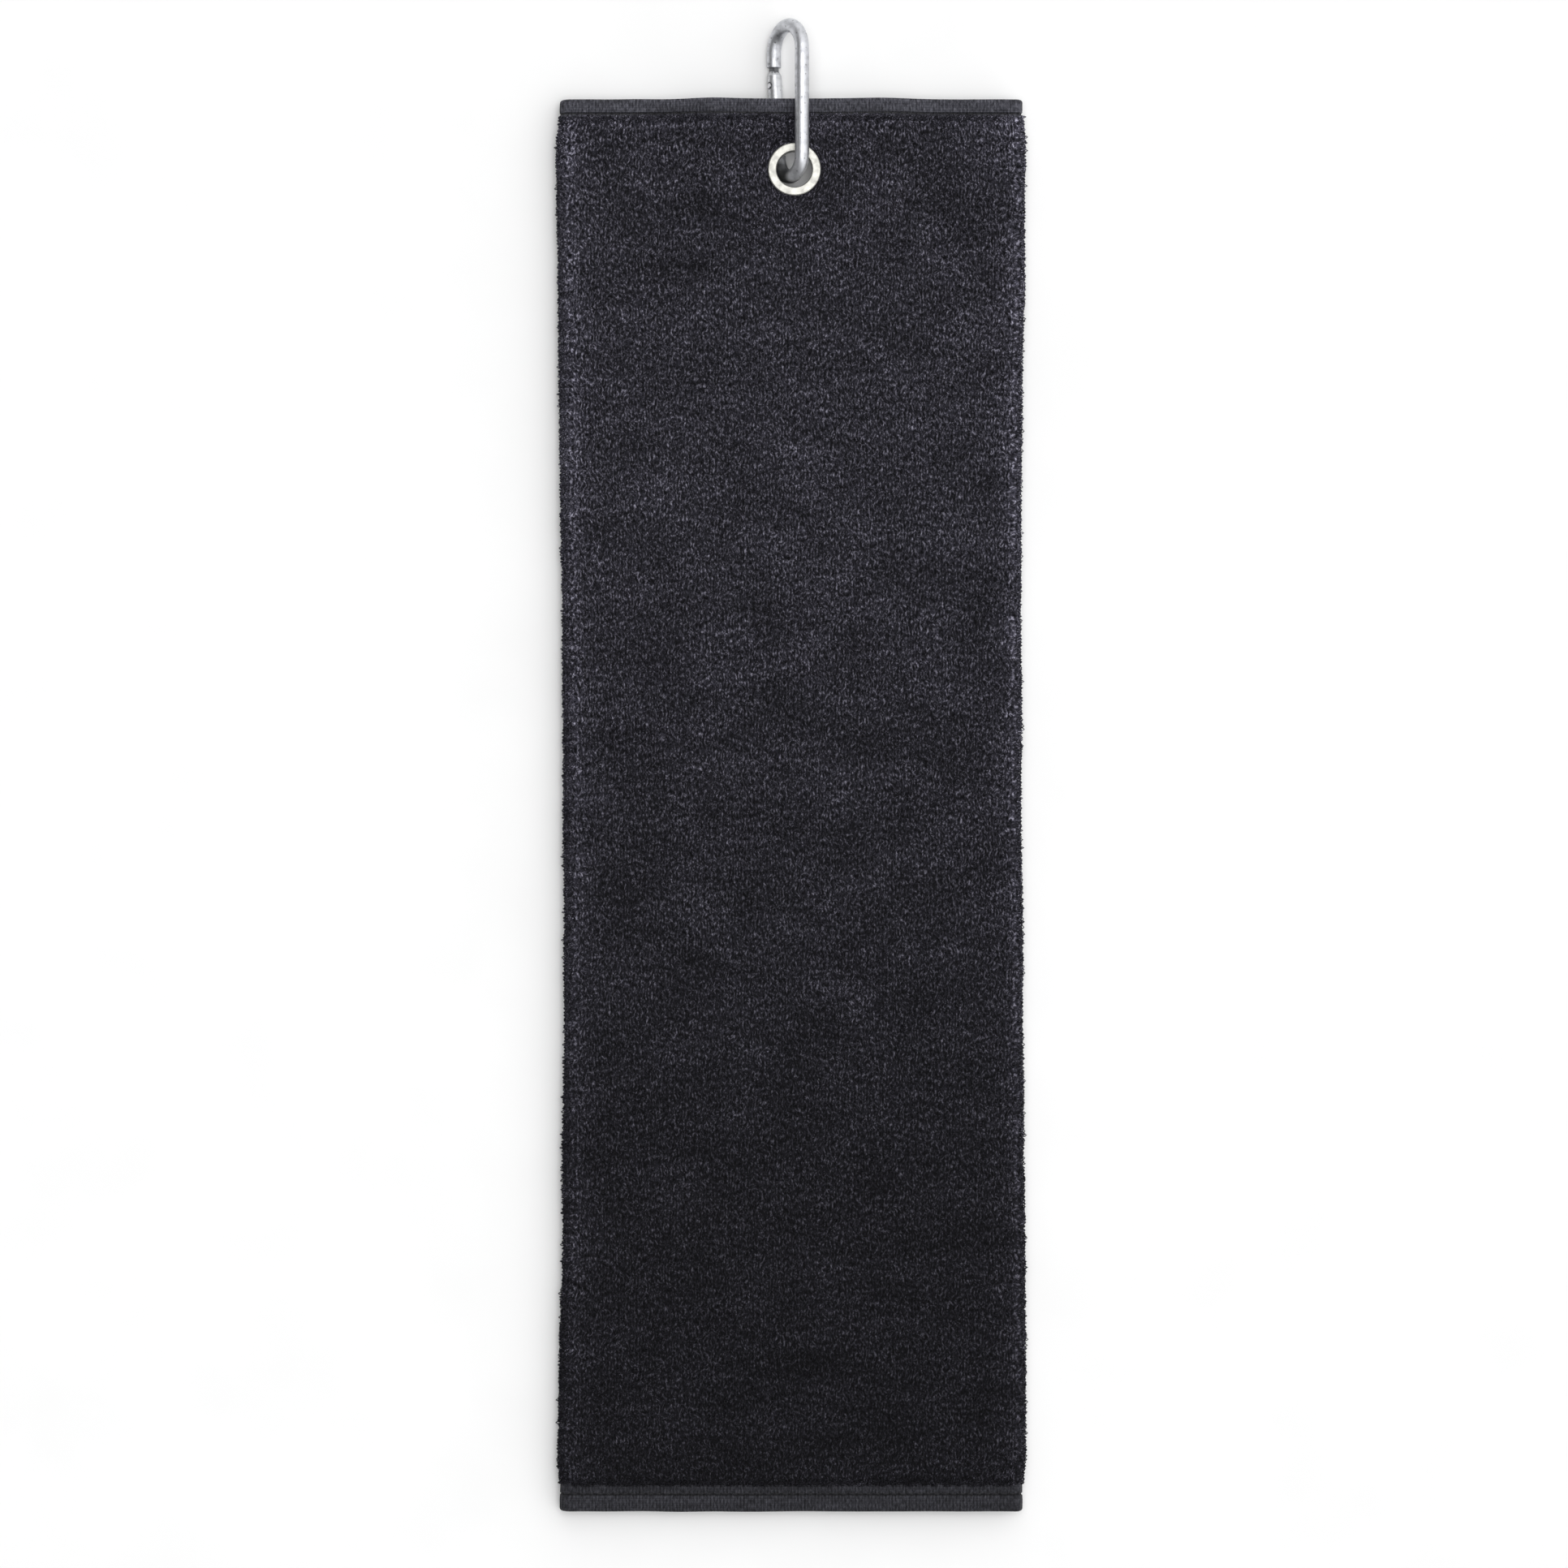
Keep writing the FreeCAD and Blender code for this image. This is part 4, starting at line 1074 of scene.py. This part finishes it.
def floor_material():
    """Matt white sweep, with a trace of grain."""
    material, tree, shader = new_material("studio_white")
    place = add(tree, "ShaderNodeTexCoord").outputs["Object"]
    grain = speckle(tree, scaled(tree, place, *FLOOR_GRAIN))
    tree.links.new(ramp(tree, grain, *FLOOR_GREYS), shader.inputs["Base Color"])
    shader.inputs["Roughness"].default_value = 0.9
    shader.inputs["Specular IOR Level"].default_value = 0.1
    return material


def studio_floor():
    """A wide plain sheet with a gently rising rim, so that low views end in it too."""
    points, faces = [Vector((0, 0, -FLOOR_GAP))], []
    for ring in range(1, FLOOR_RINGS + 1):
        share = ring / FLOOR_RINGS
        radius = FLOOR_REACH * share
        height = FLOOR_RIM * smooth((share - FLOOR_FLAT_SHARE) / (1 - FLOOR_FLAT_SHARE)) - FLOOR_GAP
        for spoke in range(FLOOR_SPOKES):
            angle = math.tau * spoke / FLOOR_SPOKES
            points.append(Vector((radius * math.cos(angle), radius * math.sin(angle), height)))
    for spoke in range(FLOOR_SPOKES):
        faces.append((0, 1 + spoke, 1 + (spoke + 1) % FLOOR_SPOKES))
    for ring in range(FLOOR_RINGS - 1):
        for spoke in range(FLOOR_SPOKES):
            a = 1 + ring * FLOOR_SPOKES + spoke
            b = 1 + ring * FLOOR_SPOKES + (spoke + 1) % FLOOR_SPOKES
            faces.append((a, a + FLOOR_SPOKES, b + FLOOR_SPOKES, b))
    made = mesh_object("studio_floor", points, faces, floor_material())


def camera():
    """Looks straight down, with the view's width measured on the floor's plane."""
    lens = bpy.data.cameras.new("camera")
    lens.sensor_width = 36
    lens.lens = lens.sensor_width * CAMERA_HEIGHT / VIEW_WIDTH
    lens.clip_start = 0.05
    lens.clip_end = 20
    made = bpy.data.objects.new("camera", lens)
    made.location = VIEW_CENTRE + Vector((0, 0, CAMERA_HEIGHT + stack_height))
    bpy.context.scene.collection.objects.link(made)
    bpy.context.scene.camera = made


def surroundings():
    """Air that glows on one side, as a room does with a wall of soft light in it, and dimly on the other."""
    world = bpy.data.worlds.new("studio_air")
    world.use_nodes = True
    tree = world.node_tree
    backdrop = next(n for n in tree.nodes if n.type == "BACKGROUND")
    direction = add(tree, "ShaderNodeTexCoord").outputs["Generated"]
    facing = add(tree, "ShaderNodeVectorMath", operation="DOT_PRODUCT", i0=direction, i1=BRIGHT_SIDE)
    glow = add(tree, "ShaderNodeMapRange", Value=facing.outputs["Value"], interpolation_type="SMOOTHSTEP")
    glow.inputs["From Min"].default_value = BRIGHT_SIDE_STARTS
    glow.inputs["From Max"].default_value = BRIGHT_SIDE_FULL
    glow.inputs["To Min"].default_value = DARK_SIDE_GLOW
    glow.inputs["To Max"].default_value = BRIGHT_SIDE_GLOW
    backdrop.inputs["Color"].default_value = (1, 1, 1, 1)
    tree.links.new(glow.outputs[0], backdrop.inputs["Strength"])
    bpy.context.scene.world = world


def overhead_light():
    lamp = bpy.data.lights.new("overhead_light", "AREA")
    lamp.shape = "DISK"
    lamp.size = LAMP_SIZE
    lamp.energy = LAMP_ENERGY
    made = bpy.data.objects.new("overhead_light", lamp)
    made.location = LAMP_PLACE
    made.rotation_euler = (LAMP_TARGET - LAMP_PLACE).to_track_quat("-Z", "Y").to_euler()
    bpy.context.scene.collection.objects.link(made)


studio_floor()
camera()
surroundings()
overhead_light()
bpy.context.scene.view_settings.view_transform = "Standard"
